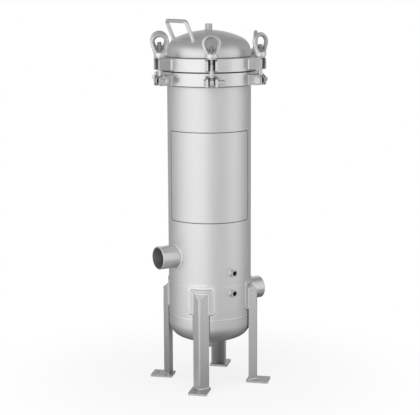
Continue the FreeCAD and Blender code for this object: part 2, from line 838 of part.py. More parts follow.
def handle():
    """A bent round bar on the shoulder of the dome, cut to the dome's surface."""
    dome = new_body("dome_form", kept=False)
    corners = head_corners("cover_tangent", "flange_top", "+-", "0")
    revolve(dome, "solid", [("0", "flange_top")] + corners[1:5])
    bar = new_body("handle_bar", kept=False)
    half = "handle_span / 2"
    path = sketch_on(bar, "YZ_Plane", "path")
    bend_low = "handle_height - handle_bend"
    edges = outline(path, [
        (f"-{half}", "-handle_root"),
        (f"-{half}", bend_low),
        (f"handle_bend - {half}", "handle_height", f"handle_bend - {half}", bend_low),
        (f"{half} - handle_bend", "handle_height"),
        (half, bend_low, f"{half} - handle_bend", bend_low),
        (half, "-handle_root"),
    ], closed=False)
    section = sketch_on(bar, "XY_Plane", "section", "-handle_root")
    ring(section, "0", f"-{half}", "handle_bar_radius")
    sweep = bar.newObject("PartDesign::AdditivePipe", "handle_sweep")
    sweep.Profile = section
    sweep.Spine = (path, [f"Edge{index}" for index in range(1, len(edges) + 1)])
    spot = "cover_tangent - head_centre_drop + sqrt(head_crown_radius^2 - handle_radius^2)"
    place(bar, "handle_radius * cos(handle_azimuth)", "handle_radius * sin(handle_azimuth)", spot,
          turn(value("handle_azimuth")) * Rotation(Vector(0, 1, 0), value("handle_lean")))
    cut = document.addObject("Part::Cut", "handle")
    cut.Label = "handle"
    cut.Base = bar
    cut.Tool = dome
    subparts.append(cut)


# Cartridges and what holds them. Each group is drawn round one cartridge's
# axis and repeated round the vessel's.

def cartridge_body(label):
    body = new_body(label)
    standing_at[body.Name] = "cartridge_circle"
    return body


def repeat_cartridges(body, features):
    repeat(body, "all", expression("cartridge_count"), features)


def tube(body, name, outer, inner, low, high):
    return revolve(body, name, [(inner, low), (outer, low), (outer, high), (inner, high)])


def groove_top(index):
    return f"sheet_top - spigot_groove_below_top - {index} * spigot_groove_pitch"


def cartridge_adapters():
    """Bottom caps whose spigots reach down through the tube sheet."""
    body = cartridge_body("cartridge_adapters")
    groove_floor = "spigot_radius - spigot_groove_depth"
    corners = [("adapter_bore_radius", "sheet_top - spigot_length"),
               ("spigot_radius", "sheet_top - spigot_length")]
    for index in (1, 0):
        top = groove_top(index)
        low = f"{top} - spigot_groove_width"
        corners += [("spigot_radius", low), (groove_floor, low),
                    (groove_floor, top), ("spigot_radius", top)]
    corners += [("spigot_radius", "sheet_top"), ("cap_radius", "sheet_top"),
                ("cap_radius", "sheet_top + cap_height"),
                ("adapter_bore_radius", "sheet_top + cap_height")]
    cap = revolve(body, "cap", corners)
    repeat_cartridges(body, [cap])


def cartridge_o_rings():
    body = cartridge_body("cartridge_o_rings")
    rings = []
    for index in (0, 1):
        top = groove_top(index)
        rings.append(tube(body, f"ring_{index}", "seat_radius", "spigot_radius - spigot_groove_depth",
                          f"{top} - spigot_groove_width", top))
    repeat_cartridges(body, rings)


def cartridge_tops():
    """Top caps with a cross shaped fin that finds the retaining plate."""
    body = cartridge_body("cartridge_top_caps")
    foot = "cartridge_top - cap_height"
    cap = revolve(body, "cap", [("0", foot), ("cap_radius", foot),
                                ("cap_radius", "cartridge_top"), ("0", "cartridge_top")])
    half = "fin_thickness / 2"
    reach = "fin_radius"
    sketch = sketch_on(body, "XY_Plane", "fin_cross", "cartridge_top")
    outline(sketch, [(half, half), (half, reach), (f"-{half}", reach), (f"-{half}", half),
                     (f"-{reach}", half), (f"-{reach}", f"-{half}"), (f"-{half}", f"-{half}"),
                     (f"-{half}", f"-{reach}"), (half, f"-{reach}"), (half, f"-{half}"),
                     (reach, f"-{half}"), (reach, half)])
    fin = pad(body, "fin", sketch, "fin_length")
    repeat_cartridges(body, [cap, fin])


def cartridge_cages():
    """Outer cages with rows of tall windows."""
    body = cartridge_body("cartridge_cages")
    low, high = "sheet_top + cap_height", "cartridge_top - cap_height"
    features = [tube(body, "wall", "cage_radius", "cage_radius - cage_wall", low, high)]
    for column in range(int(value("cage_columns"))):
        sketch = sketch_on(body, "XZ_Plane", f"windows_{column}")
        # Local Y of this sketch is the cartridge's axis.
        facing = Rotation(Vector(0, 1, 0), value(f"180 * {column} / cage_columns"))
        sketch.AttachmentOffset = Placement(Vector(value("cartridge_circle"), 0, 0), facing)
        for index in range(int(value("cage_rows"))):
            middle = f"({low} + {high}) / 2 + ({index} - (cage_rows - 1) / 2) * window_pitch"
            rectangle(sketch, "-window_width / 2", "window_width / 2",
                      f"{middle} - window_height / 2", f"{middle} + window_height / 2")
        features.append(pocket(body, f"windows_{column}", sketch))
    repeat_cartridges(body, features)


def cartridge_pleats():
    """Filter sheets folded into pleats round the cores."""
    body = cartridge_body("cartridge_pleats")
    sketch = sketch_on(body, "XY_Plane", "folds", "sheet_top + cap_height")
    count = int(value("pleat_count"))
    # The outer and the inner surface of the folded sheet, valley after ridge.
    for ridge, valley in (("pleat_outer_radius", "pleat_inner_radius"),
                          ("pleat_outer_radius - 3 * pleat_thickness",
                           "pleat_inner_radius - pleat_thickness")):
        corners = []
        for index in range(2 * count):
            angle = f"({index} * 180 / pleat_count)"
            radius = f"({valley if index % 2 else ridge})"
            corners.append((f"{radius} * cos({angle})", f"{radius} * sin({angle})"))
        outline(sketch, corners)
    sheet_form = pad(body, "folds", sketch, "cartridge_length - 2 * cap_height")
    repeat_cartridges(body, [sheet_form])


def cartridge_cores():
    body = cartridge_body("cartridge_cores")
    wall = tube(body, "wall", "core_radius", "core_radius - core_wall",
                "sheet_top + cap_height", "cartridge_top - cap_height")
    repeat_cartridges(body, [wall])


def retaining_plate():
    body = new_body("retaining_plate")
    tube(body, "disc", "shell_bore - plate_wall_gap", "rod_radius + plate_hole_gap",
         "cartridge_top", "plate_top")
    sketch = sketch_on(body, "XY_Plane", "fin_circle")
    ring(sketch, "cartridge_circle", "0", "fin_radius + plate_hole_gap")
    hole = pocket(body, "fin_hole", sketch)
    repeat(body, "fin_holes", expression("cartridge_count"), [hole])


def tie_rod():
    body = new_body("tie_rod")
    revolve(body, "rod", [("0", "sheet_bottom - rod_below_sheet"),
                          ("rod_radius", "sheet_bottom - rod_below_sheet"),
                          ("rod_radius", "plate_top + rod_above_plate"),
                          ("0", "plate_top + rod_above_plate")])


def tie_rod_washer():
    body = new_body("tie_rod_washer")
    tube(body, "disc", "rod_washer_radius", "rod_radius + running_gap",
         "plate_top", "plate_top + rod_washer_thickness")


def tie_rod_nut():
    body = new_body("tie_rod_nut")
    sketch = sketch_on(body, "XY_Plane", "hexagon", "plate_top + rod_washer_thickness")
    corner = "rod_nut_width / sqrt(3)"
    outline(sketch, [(f"{corner} * cos({60 * step})", f"{corner} * sin({60 * step})")
                     for step in range(6)])
    ring(sketch, "0", "0", "rod_radius + running_gap")
    pad(body, "nut", sketch, "rod_nut_height")


# Assembly

def build_vessel():
    shell("shell_upper", "sheet_seam", "shell_top", "inlet_height", False, "upper_port_height")
    shell("shell_lower", "bottom_seam", "sheet_seam", "outlet_height", True, "lower_port_height")
    head("bottom_head", "head_tangent", "bottom_seam", "-+")
    head("cover_head", "cover_tangent", "cover_rim", "+-")
    body_flange()
    cover_flange()
    flange_seal()
    tube_sheet()
    pipe_stub("inlet_pipe", "inlet_height", INLET_AZIMUTH)
    pipe_stub("outlet_pipe", "outlet_height", OUTLET_AZIMUTH)
    side_coupling("upper_port_coupling", "upper_port_height", PORT_AZIMUTH)
    side_coupling("lower_port_coupling", "lower_port_height", PORT_AZIMUTH)
    drain_end = "head_floor_gap - drain_projection"
    pole_coupling("drain_coupling", "head_floor_gap + shell_wall + coupling_inside", drain_end,
                  f"{drain_end} + coupling_countersink")
    vent_end = "cover_tangent + head_depth + vent_projection"
    pole_coupling("vent_coupling", "cover_tangent + head_depth - shell_wall - coupling_inside",
                  vent_end, f"{vent_end} - coupling_countersink")


def build_legs():
    for index, corner in enumerate(LEG_CORNERS):
        leg("leg_" + corner, FIRST_LEG_AZIMUTH + index * 360 / value("leg_count"))
    leg_caps()
    leg_pads()
    foot_plates()


def build_clamps():
    cover_lugs()
    clevis_lugs()
    clevis_pins()
    pin_washers()
    split_pins()
    count = int(value("clamp_count"))
    for number in range(1, count + 1):
        azimuth = (number - 1) * 360 / count
        swing_bolt(number, azimuth)
        nut_washer(number, azimuth)
        eye_nut(number, azimuth)


def build_cartridges():
    cartridge_adapters()
    cartridge_o_rings()
    cartridge_tops()
    cartridge_cages()
    cartridge_pleats()
    cartridge_cores()
    retaining_plate()
    tie_rod()
    tie_rod_washer()
    tie_rod_nut()


def check_document():
    """Stop unless every object computed and every cut removed something."""
    for item in document.Objects:
        if "Invalid" in item.State or "Error" in item.State:
            raise RuntimeError(f"{item.Name} failed: {item.State} {item.getStatusString()}")
        if item.TypeId == "PartDesign::Pocket" and item.BaseFeature is not None:
            if item.Shape.Volume > item.BaseFeature.Shape.Volume - 1e-3:
                raise RuntimeError(f"{item.Name} cuts nothing")
    for item in subparts:
        if item.Shape.isNull() or not item.Shape.isValid() or not item.Shape.Solids:
            raise RuntimeError(f"{item.Label} has no valid solid")
    if len(subparts) > NODE_LIMIT:
        raise RuntimeError("too many nodes")


def export():
    os.makedirs(PARTS_FOLDER, exist_ok=True)
    for item in subparts:
        item.Shape.exportStep(os.path.join(PARTS_FOLDER, item.Label + ".step"))
        print(item.Label, len(item.Shape.Solids), "solids", round(item.Shape.Volume / 1000, 2), "cm3")


build_vessel()
build_legs()
build_clamps()
build_cartridges()
handle()
document.recompute()
check_document()
export()
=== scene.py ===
import json
import math

import bpy
import numpy as np
from mathutils import Matrix, Vector


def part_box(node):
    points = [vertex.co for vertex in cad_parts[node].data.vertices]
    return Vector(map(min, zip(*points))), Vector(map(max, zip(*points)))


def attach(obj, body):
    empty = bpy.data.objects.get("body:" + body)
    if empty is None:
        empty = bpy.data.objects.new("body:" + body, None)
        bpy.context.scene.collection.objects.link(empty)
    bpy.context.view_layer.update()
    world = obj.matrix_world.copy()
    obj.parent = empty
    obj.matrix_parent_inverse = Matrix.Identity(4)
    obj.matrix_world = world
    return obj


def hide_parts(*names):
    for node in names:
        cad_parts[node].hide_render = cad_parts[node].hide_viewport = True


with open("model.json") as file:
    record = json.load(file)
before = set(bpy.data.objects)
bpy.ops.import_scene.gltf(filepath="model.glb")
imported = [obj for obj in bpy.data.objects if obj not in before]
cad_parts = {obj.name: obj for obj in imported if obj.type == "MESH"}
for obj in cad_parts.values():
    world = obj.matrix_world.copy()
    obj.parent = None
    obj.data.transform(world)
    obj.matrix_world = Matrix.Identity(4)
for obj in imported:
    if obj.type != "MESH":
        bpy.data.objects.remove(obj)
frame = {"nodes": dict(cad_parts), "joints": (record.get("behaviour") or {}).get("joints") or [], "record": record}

# Multi-cartridge filter housing: finishes, welds, threads and split pins on the
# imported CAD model. All lengths are metres in the model's own frame: the floor
# under the vessel axis is the origin, +Z is up, +X is the outlet's side.

MM = 0.001
TURN = math.tau
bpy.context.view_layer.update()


# Places read from the frame

def low(node):
    """The least corner of a CAD node's box."""
    return np.array(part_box(node)[0])


def high(node):
    """The greatest corner of a CAD node's box."""
    return np.array(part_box(node)[1])


def middle_height(node):
    """The middle height of a CAD node's box."""
    return (low(node)[2] + high(node)[2]) / 2


SHELL_RADIUS = high("shell_upper")[0]
FLANGE_RADIUS = high("body_flange")[0]
BOTTOM_SEAM = low("shell_lower")[2]
SHEET_SEAM = low("shell_upper")[2]
FLANGE_FOOT = low("body_flange")[2]
FLANGE_TOP = high("cover_flange")[2]
JOINT_FOOT = high("body_flange")[2]
COVER_TIP = high("cover_head")[2]
BOTTOM_TIP = low("bottom_head")[2]
PAD_FOOT, PAD_TOP = low("leg_pads")[2], high("leg_pads")[2]
FOOT_TOP = high("foot_plates")[2]
EAR_FOOT = low("cover_lugs")[2]
CHEEK_FOOT, CHEEK_TOP = low("clevis_lugs")[2], high("clevis_lugs")[2]
HUB_FOOT = low("eye_nut_1")[2]
LUG_END = high("cover_lugs")[0]
SHANK_END = high("swing_bolt_1")[2]
INLET_HEIGHT = middle_height("inlet_pipe")
OUTLET_HEIGHT = middle_height("outlet_pipe")
PIN_HEIGHT = frame["joints"][0]["pos_m"][2]
BOLT_CIRCLE = frame["joints"][0]["pos_m"][0]

# The same sizes as the CAD model's, where a box doesn't give them
CROWN_RADIUS = 200 * MM
KNUCKLE_RADIUS = 42 * MM
PAD_THICKNESS = 2 * MM
PAD_HALF_ANGLE = math.radians(18.7)
PAD_CORNER = 8 * MM
LEG_WIDTH = 30 * MM
HEEL_ROUND = 4.5 * MM
CAP_SLOPE = math.radians(37)
CAP_DROP = 19.6 * MM
RIM_GAP = 1.6 * MM
EAR_HALF = 14.5 * MM
CHEEK_INNER, CHEEK_OUTER = 9 * MM, 15 * MM
PIPE_RADIUS = 30.15 * MM
COUPLING_RADIUS = 9 * MM
COUPLING_BORE = 5.75 * MM
COUPLING_PITCH, COUPLING_DEPTH, COUPLING_THREAD = 1.34 * MM, 0.55 * MM, 9 * MM
SHANK_RADIUS = 5.45 * MM
SHANK_PITCH, SHANK_DEPTH, SHANK_THREAD = 1.75 * MM, 0.6 * MM, 14 * MM
CHAMFER = 1.2 * MM
PIN_RADIUS = 6 * MM
SPLIT_PIN_ASIDE = 18.55 * MM
HUB_HEIGHT = 11.7 * MM
LOOP_BAR = 5.25 * MM
LOOP_RADIUS = 18.4 * MM
LOOP_RISE = 25.3 * MM
LOOP_FOOT_SPACING = 9.4 * MM
LOOP_FOOT_DEPTH = 5.5 * MM
NUT_DEGREES = (-32.5, 0, -62.5, 57.5, 0, -27.5)
HANDLE_AZIMUTH = math.radians(179)
HANDLE_RADIUS = 79.75 * MM
HANDLE_HALF_SPAN = 49.5 * MM
HANDLE_BAR = 5 * MM

HANDLE_LEAN = math.asin(HANDLE_RADIUS / CROWN_RADIUS)
HEAD_DROP = math.sqrt((CROWN_RADIUS - KNUCKLE_RADIUS) ** 2 - (SHELL_RADIUS - KNUCKLE_RADIUS) ** 2)
PAD_RADIUS = SHELL_RADIUS + PAD_THICKNESS
LEG_HALF = LEG_WIDTH * math.sqrt(0.5)
RIDGE = math.sqrt(PAD_RADIUS ** 2 - LEG_HALF ** 2) + LEG_HALF
HUB_TOP = HUB_FOOT + HUB_HEIGHT
LEG_TOP = PAD_TOP - CAP_DROP
LEG_AZIMUTHS = [math.radians(angle) for angle in (45, 135, 225, 315)]
CLAMPS = 6
CLAMP_AZIMUTHS = [number * TURN / CLAMPS for number in range(CLAMPS)]
PORTS = ("upper_port_coupling", "lower_port_coupling")
PORT_AZIMUTH = -TURN / 4

OUTWARDS = np.array([1.0, 0, 0])
UPWARDS = np.array([0, 0, 1.0])
OTHER_SIDE = np.array([1.0, -1.0, 1.0])


# Curves and frames

def unit(vectors):
    """Vectors of length 1 in the same directions."""
    return vectors / np.linalg.norm(vectors, axis=-1, keepdims=True)


def points(x, y, z):
    """Places from coordinates, each an array or one number."""
    return np.stack(np.broadcast_arrays(x, y, z), axis=-1).astype(float)


def turned(places, azimuth):
    """Places turned about the Z axis: (x cos a - y sin a, x sin a + y cos a, z)."""
    c, s = math.cos(azimuth), math.sin(azimuth)
    x, y, z = places[..., 0], places[..., 1], places[..., 2]
    return points(x * c - y * s, x * s + y * c, z)


def evenly(path, step, loop=False):
    """The path with its points at equal distances, about one step apart.

    Columns after the third, such as an outward direction, are carried along with the places.
    """
    if loop:
        path = np.vstack([path, path[:1]])
    gaps = np.linalg.norm(np.diff(path[:, :3], axis=0), axis=1)
    reach = np.concatenate([[0], np.cumsum(gaps)])
    count = max(int(round(reach[-1] / step)), 4)
    at = np.linspace(0, reach[-1], count + 1)[:count + (0 if loop else 1)]
    return np.stack([np.interp(at, reach, column) for column in path.T], axis=1)


def rounded_rectangle(half_width, half_height, corner):
    """Closed outline: four quarter circles, each about its own corner's centre."""
    angle = np.linspace(0, TURN / 4, 7)
    quarters = []
    for index, (right, up) in enumerate(((1, 1), (-1, 1), (-1, -1), (1, -1))):
        swing = angle + index * TURN / 4
        quarters.append(np.stack([right * (half_width - corner) + corner * np.cos(swing),
                                  up * (half_height - corner) + corner * np.sin(swing)], axis=1))
    return np.vstack(quarters)


def wrapped(flat, azimuth, radius):
    """A flat outline (arc length, height) laid on a cylinder, and the outward direction there."""
    angle = azimuth + flat[:, 0] / radius
    out = points(np.cos(angle), np.sin(angle), 0)
    return out * radius + points(0, 0, flat[:, 1]), out


def circle(size, sides):
    """Closed outline of a circle: (size cos t, size sin t)."""
    angle = np.linspace(0, TURN, sides, endpoint=False)
    return np.stack([size * np.cos(angle), size * np.sin(angle)], axis=1)


# Surfaces

def carried(path, across, profile, loop=False):
    """A profile (out, aside) carried along a path: path + out * across + aside * (along x across).

    across is made square to the path first. profile is one outline or one per point.
    """
    if loop:
        along = unit(np.roll(path, -1, axis=0) - np.roll(path, 1, axis=0))
    else:
        along = unit(np.gradient(path, axis=0))
    across = np.broadcast_to(across, path.shape)
    across = unit(across - (across * along).sum(axis=1, keepdims=True) * along)
    aside = np.cross(along, across)
    profile = np.broadcast_to(profile, (len(path),) + np.shape(profile)[-2:])
    grid = (path[:, None] + profile[..., :1] * across[:, None] + profile[..., 1:] * aside[:, None])
    return grid, loop


def skin(grid, loop):
    """Corner indices of a grid closed round its profile, with a fan over each end that is open."""
    rows, columns = grid.shape[:2]
    steps = np.arange(rows if loop else rows - 1)
    row, column = np.meshgrid(steps, np.arange(columns), indexing="ij")
    after, beside = (row + 1) % rows, (column + 1) % columns
    corners = [row * columns + column, row * columns + beside,
               after * columns + beside, after * columns + column]
    quads = np.stack(corners, axis=-1).reshape(-1, 4)
    vertices = grid.reshape(-1, 3)
    if loop:
        return vertices, quads, np.zeros((0, 3), int)
    first = np.arange(columns)
    second = np.roll(first, -1)
    last = (rows - 1) * columns
    near = np.stack([np.full(columns, rows * columns), second, first], axis=1)
    far = np.stack([np.full(columns, rows * columns + 1), last + first, last + second], axis=1)
    vertices = np.vstack([vertices, grid[0].mean(axis=0), grid[-1].mean(axis=0)])
    return vertices, quads, np.vstack([near, far])


def outwards(vertices, quads, triangles):
    """The same faces, turned round where the volume that they enclose comes out negative."""
    halves = np.vstack([quads[:, [0, 1, 2]], quads[:, [0, 2, 3]], triangles])
    a, b, c = (vertices[halves[:, index]] for index in range(3))
    if (a * np.cross(b, c)).sum() < 0:
        return quads[:, ::-1], triangles[:, ::-1]
    return quads, triangles


def piece(name, grids, finish, body="vessel", sharp=50):
    """One object made of closed surfaces, riding on a body."""
    vertices, faces, count = [], [], 0
    for grid, loop in grids:
        corners, quads, triangles = skin(grid, loop)
        quads, triangles = outwards(corners, quads, triangles)
        faces += (quads + count).tolist() + (triangles + count).tolist()
        vertices.append(corners)
        count += len(corners)
    mesh = bpy.data.meshes.new(name)
    mesh.from_pydata(np.vstack(vertices).tolist(), [], faces)
    mesh.shade_smooth()
    mesh.set_sharp_from_angle(angle=math.radians(sharp))
    mesh.materials.append(finish)
    made = bpy.data.objects.new(name, mesh)
    bpy.context.scene.collection.objects.link(made)
    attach(made, body)
    return made


# Shader arithmetic

class Number:
    """A shader socket that takes part in Python arithmetic."""

    def __init__(self, tree, socket):
        self.tree = tree
        self.socket = socket

    def math(self, operation, *others):
        return self.tree.node("ShaderNodeMath", {"operation": operation},
                              dict(enumerate((self,) + others)))

    def __add__(self, other):
        return self.math("ADD", other)

    def __sub__(self, other):
        return self.math("SUBTRACT", other)

    def __rsub__(self, other):
        return self.tree.node("ShaderNodeMath", {"operation": "SUBTRACT"}, {0: other, 1: self})

    def __mul__(self, other):
        return self.math("MULTIPLY", other)

    def __pow__(self, other):
        return self.math("POWER", other)

    def __abs__(self):
        return self.math("ABSOLUTE")

    __radd__ = __add__

    def least(self, other):
        return self.math("MINIMUM", other)

    def most(self, other):
        return self.math("MAXIMUM", other)

    def between(self, start, end):
        """0 below start, 1 above end, smooth between. Start may be above end."""
        return self.tree.node("ShaderNodeMapRange", {"interpolation_type": "SMOOTHSTEP"},
                              {"Value": self, "From Min": start, "From Max": end})


def diagonal(a, b):
    """sqrt(a^2 + b^2)."""
    return (a * a + b * b) ** 0.5


class Tree:
    """A node tree, with one method that adds any node."""

    def __init__(self, tree):
        self.tree = tree
        tree.nodes.clear()

    def node(self, kind, settings=None, sockets=None, output=0):
        """Add a node: its settings first, then the values or links of its sockets."""
        made = self.tree.nodes.new(kind)
        for name, setting in (settings or {}).items():
            setattr(made, name, setting)
        for name, value in (sockets or {}).items():
            self.feed(made.inputs[name], value)
        return Number(self, made.outputs[output]) if made.outputs else None

    def feed(self, socket, value):
        if isinstance(value, Number):
            self.tree.links.new(value.socket, socket)
        else:
            socket.default_value = value


class Finish(Tree):
    """A material whose patterns are measured in the object's own metres."""

    def __init__(self, name, metallic=1.0):
        self.material = bpy.data.materials.new(name)
        self.material.use_nodes = True
        super().__init__(self.material.node_tree)
        self.surface = self.tree.nodes.new("ShaderNodeBsdfPrincipled")
        output = self.tree.nodes.new("ShaderNodeOutputMaterial")
        self.tree.links.new(self.surface.outputs[0], output.inputs[0])
        self.surface.inputs["Metallic"].default_value = metallic
        self.place = self.node("ShaderNodeTexCoord", output="Object")
        split = self.tree.nodes.new("ShaderNodeSeparateXYZ")
        self.feed(split.inputs[0], self.place)
        self.x, self.y, self.z = (Number(self, split.outputs[index]) for index in range(3))

    def radius(self):
        return diagonal(self.x, self.y)

    def azimuth(self):
        return self.y.math("ARCTAN2", self.x)

    def vector(self, x, y, z):
        return self.node("ShaderNodeCombineXYZ", sockets={0: x, 1: y, 2: z})

    def stretched(self, x, y, z):
        return self.node("ShaderNodeVectorMath", {"operation": "MULTIPLY"},
                         {0: self.place, 1: (x, y, z)})

    def noise(self, size, where=None, detail=2.0):
        """Soft noise from 0 to 1 whose patches are about one size across."""
        return self.node("ShaderNodeTexNoise", sockets={
            "Vector": where or self.place, "Scale": 1 / size, "Detail": detail}, output="Fac")

    def pits(self, size):
        """Round cells: the distance to the nearest of points about one size apart."""
        return self.node("ShaderNodeTexVoronoi", sockets={
            "Vector": self.place, "Scale": 1 / size}, output="Distance")

    def mixed(self, amount, first, second):
        return self.node("ShaderNodeMix", {"data_type": "RGBA"},
                         {0: amount, 6: first, 7: second}, output=2)

    def coated(self, colour, rough, height, shade=None):
        """The material with its colour, or level of grey, its roughness and bumps of a height.

        A shade gives the share of the brightness that is lost at each place.
        """
        if shade is not None:
            colour = colour * (1 - shade(self))
        normal = self.node("ShaderNodeBump", sockets={
            "Strength": 1.0, "Distance": 1.0, "Height": height}, output="Normal")
        inputs = {"Base Color": colour, "Roughness": rough, "Normal": normal}
        for name, value in inputs.items():
            self.feed(self.surface.inputs[name], value)
        return self.material


# Where a finish changes, and where shade and highlights are painted

# A shade is the share of a metal's brightness that is taken away at a place: mostly painted shade, and below 0 a
# painted highlight.

def from_leg(finish):
    """Distance round the shell from the middle of the nearest leg."""
    return (finish.azimuth().math("PINGPONG", TURN / 8) - TURN / 8) * -SHELL_RADIUS


def pad_outline(finish):
    """Distance beyond the rounded outline of the nearest leg pad, below 0 inside it."""
    over_x = from_leg(finish) - (PAD_HALF_ANGLE * SHELL_RADIUS - PAD_CORNER)
    over_z = abs(finish.z - (PAD_FOOT + PAD_TOP) / 2) - ((PAD_TOP - PAD_FOOT) / 2 - PAD_CORNER)
    return diagonal(over_x.most(0.0), over_z.most(0.0)) + over_x.most(over_z).least(0.0) - PAD_CORNER


def folded(finish, count, turn=0.0):
    """How far a place is out along the nearest of count directions, and how far beside it."""
    fold = (finish.azimuth() + turn).math("PINGPONG", TURN / (2 * count))
    return finish.radius() * fold.math("COSINE"), finish.radius() * fold.math("SINE")


def above_pipe(finish):
    """Height above the axis of the inlet or outlet pipe, whichever is on this side."""
    outlet = finish.x.between(-1 * MM, 1 * MM)
    return finish.z - outlet * (OUTLET_HEIGHT - INLET_HEIGHT) - INLET_HEIGHT


def pipe_outline(finish):
    """Distance beyond the outside of the pipe on this side, below 0 inside it."""
    return diagonal(finish.y, above_pipe(finish)) - PIPE_RADIUS


def near_welds(finish):
    """1 on the bands that are brushed after welding, 0 a little further off."""
    distance = abs(finish.z - BOTTOM_SEAM).least(abs(finish.z - SHEET_SEAM) + 3 * MM)
    distance = distance.least(abs(pad_outline(finish))).least(abs(pipe_outline(finish)))
    wander = finish.noise(14 * MM) * 3 * MM
    return (distance + wander).between(8.5 * MM, 4 * MM)


def shell_shade(finish):
    """Painted shade right under the body's ring, behind the legs and low on the bottom head."""
    ring = abs(finish.z - FLANGE_FOOT).between(5 * MM, 1.5 * MM)
    bottom = finish.z.between(BOTTOM_SEAM - 12 * MM, BOTTOM_SEAM - 55 * MM)
    legs = from_leg(finish).between(LEG_HALF + 3 * MM, LEG_HALF)
    legs = legs * finish.z.between(PAD_FOOT + 1 * MM, PAD_FOOT - 1 * MM)
    legs = legs * finish.z.between(BOTTOM_SEAM - 50 * MM, BOTTOM_SEAM - 25 * MM)
    return (ring * 0.55).most(legs * 0.97).most(bottom * 0.35)


def joint_shade(finish):
    """Painted shade in the gap between the two rings, between the cheeks, on top and at the foot."""
    gap_shade = abs(finish.z - (JOINT_FOOT + RIM_GAP / 2)).between(2.1 * MM, 1.2 * MM)
    _, aside = folded(finish, CLAMPS)
    cheeks = aside.between(CHEEK_INNER + 1 * MM, CHEEK_INNER) * (
        abs(finish.z - (PIN_HEIGHT - 2 * MM)).between(14 * MM, 8 * MM))
    upper = finish.z.between(FLANGE_TOP - 0.9 * MM, FLANGE_TOP - 0.3 * MM)
    lower = finish.z.between(FLANGE_FOOT + 1.3 * MM, FLANGE_FOOT + 0.5 * MM)
    return gap_shade.most(cheeks * 0.75 + upper * 0.4 + lower * 0.5) * 0.94


def pad_shade(finish):
    """Painted shade on a pad's foot and below its upper border; below 0, a painted highlight on the border."""
    inwards = pad_outline(finish) * -1
    upper = finish.z.between(PAD_TOP - 14 * MM, PAD_TOP - 11 * MM)
    line = abs(inwards - 9.5 * MM).between(1.8 * MM, 0.6 * MM) * upper
    foot = finish.z.between(PAD_FOOT + 3 * MM, PAD_FOOT + 1.5 * MM)
    border = inwards.between(9 * MM, 8 * MM) * (upper * 0.2 + 0.12)
    return line.most(foot * 2) * 0.35 - border


def leg_shade(finish):
    """Painted shade inside the angle of a leg, and more of it close to the vessel."""
    out, aside = folded(finish, 4, TURN / 8)
    depth = (RIDGE - out - aside) * math.sqrt(0.5)
    inside = depth.between(1 * MM, 2 * MM)
    near = (finish.radius() - SHELL_RADIUS).between(14 * MM, 4 * MM) * (
        finish.z.between(BOTTOM_SEAM - 50 * MM, BOTTOM_SEAM - 10 * MM))
    return inside * (near * 0.75 + 0.2)


def plate_shade(finish):
    """Darker on the top faces of the foot plates."""
    return finish.z.between(FOOT_TOP - 0.6 * MM, FOOT_TOP - 0.2 * MM) * 0.5


def pipe_shade(finish):
    """Painted shade on the undersides of both pipes, most of it close to the shell."""
    below = above_pipe(finish).between(-4 * MM, -26 * MM)
    near = finish.radius().between(SHELL_RADIUS + 45 * MM, SHELL_RADIUS)
    return below * (near * 0.4 + 0.2)


def pipe_inside(finish):
    """1 inside both pipes: rougher from the scale left by drawing, and darker with painted shade."""
    return pipe_outline(finish).between(-1 * MM, -2 * MM)


def bolt_shade(finish):
    """Painted shade on a bolt's thread above the hub, and on both sides of its eye."""
    _, aside = folded(finish, CLAMPS)
    above_hub = finish.z.between(HUB_TOP - 1 * MM, HUB_TOP + 1 * MM)
    eye_sides = aside.between(4.2 * MM, 5.4 * MM) * (
        finish.z.between(PIN_HEIGHT + 12 * MM, PIN_HEIGHT + 9 * MM))
    return above_hub * 0.3 + eye_sides * 0.93


def pin_shade(finish):
    """Painted shade on a clevis pin between the cheeks."""
    _, aside = folded(finish, CLAMPS)
    return aside.between(CHEEK_INNER + 0.4 * MM, CHEEK_INNER - 0.4 * MM) * 0.75


def ground_ends_and_shade(finish):
    """1 on the lugs' outer end faces, which are ground, and below 0 for painted shade between them."""
    out, aside = folded(finish, CLAMPS)
    ends = out.between(LUG_END - 1.2 * MM, LUG_END - 0.5 * MM)
    inside = aside.between(CHEEK_INNER + 0.6 * MM, CHEEK_INNER + 0.2 * MM)
    return ends - inside * (1 - ends) * 0.6


def painted_rim_highlight_and_hub(finish):
    """1 on the outer side of each eye nut's loop, a painted highlight, and on its hub."""
    out, aside = folded(finish, CLAMPS)
    reach = diagonal(out - BOLT_CIRCLE, aside)
    rise = finish.z - (HUB_TOP + LOOP_RISE)
    slant = (LOOP_RADIUS - LOOP_FOOT_SPACING) / (LOOP_RISE + LOOP_FOOT_DEPTH)
    from_middle = diagonal(reach, rise.most(0.0)) - rise.least(0.0) * slant - LOOP_RADIUS
    hub = finish.z.between(HUB_TOP + 1 * MM, HUB_TOP - 1 * MM)
    return from_middle.between(0.0, 4 * MM).most(hub * 0.8)


# Finishes

def blasted_steel(name, tone, roughness, welds=False, shade=None):
    """Bead blasted stainless sheet: fine grain, cloudy sheen, brushed bands along the welds."""
    finish = Finish(name)
    grain = finish.noise(0.45 * MM, detail=3.0)
    cloud = finish.noise(46 * MM, finish.stretched(1, 1, 0.55), detail=3.0)
    streak = finish.noise(5 * MM, finish.stretched(1, 1, 0.08))
    level = tone + (cloud - 0.5) * 0.05 + (streak - 0.5) * 0.02 + (grain - 0.5) * 0.05
    rough = roughness + (cloud - 0.5) * 0.08 + (grain - 0.5) * 0.07
    if welds:
        band = near_welds(finish)
        level = level + band * 0.05
        rough = rough - band * 0.13
    return finish.coated(level, rough, grain * 0.016 * MM, shade)


def turned_steel(name, tone, roughness, shade=None):
    """Lathe turned steel: fine circular lines on its sides and faces."""
    finish = Finish(name)
    across = finish.vector(finish.radius(), finish.z, finish.azimuth() * 0.004)
    fine = finish.noise(0.35 * MM, across)
    coarse = finish.noise(1.9 * MM, across)
    cloud = finish.noise(30 * MM)
    level = tone + (coarse - 0.5) * 0.07 + (fine - 0.5) * 0.05
    rough = roughness + (coarse - 0.5) * 0.12 + (cloud - 0.5) * 0.06
    return finish.coated(level, rough, fine * 0.006 * MM + coarse * 0.01 * MM, shade)


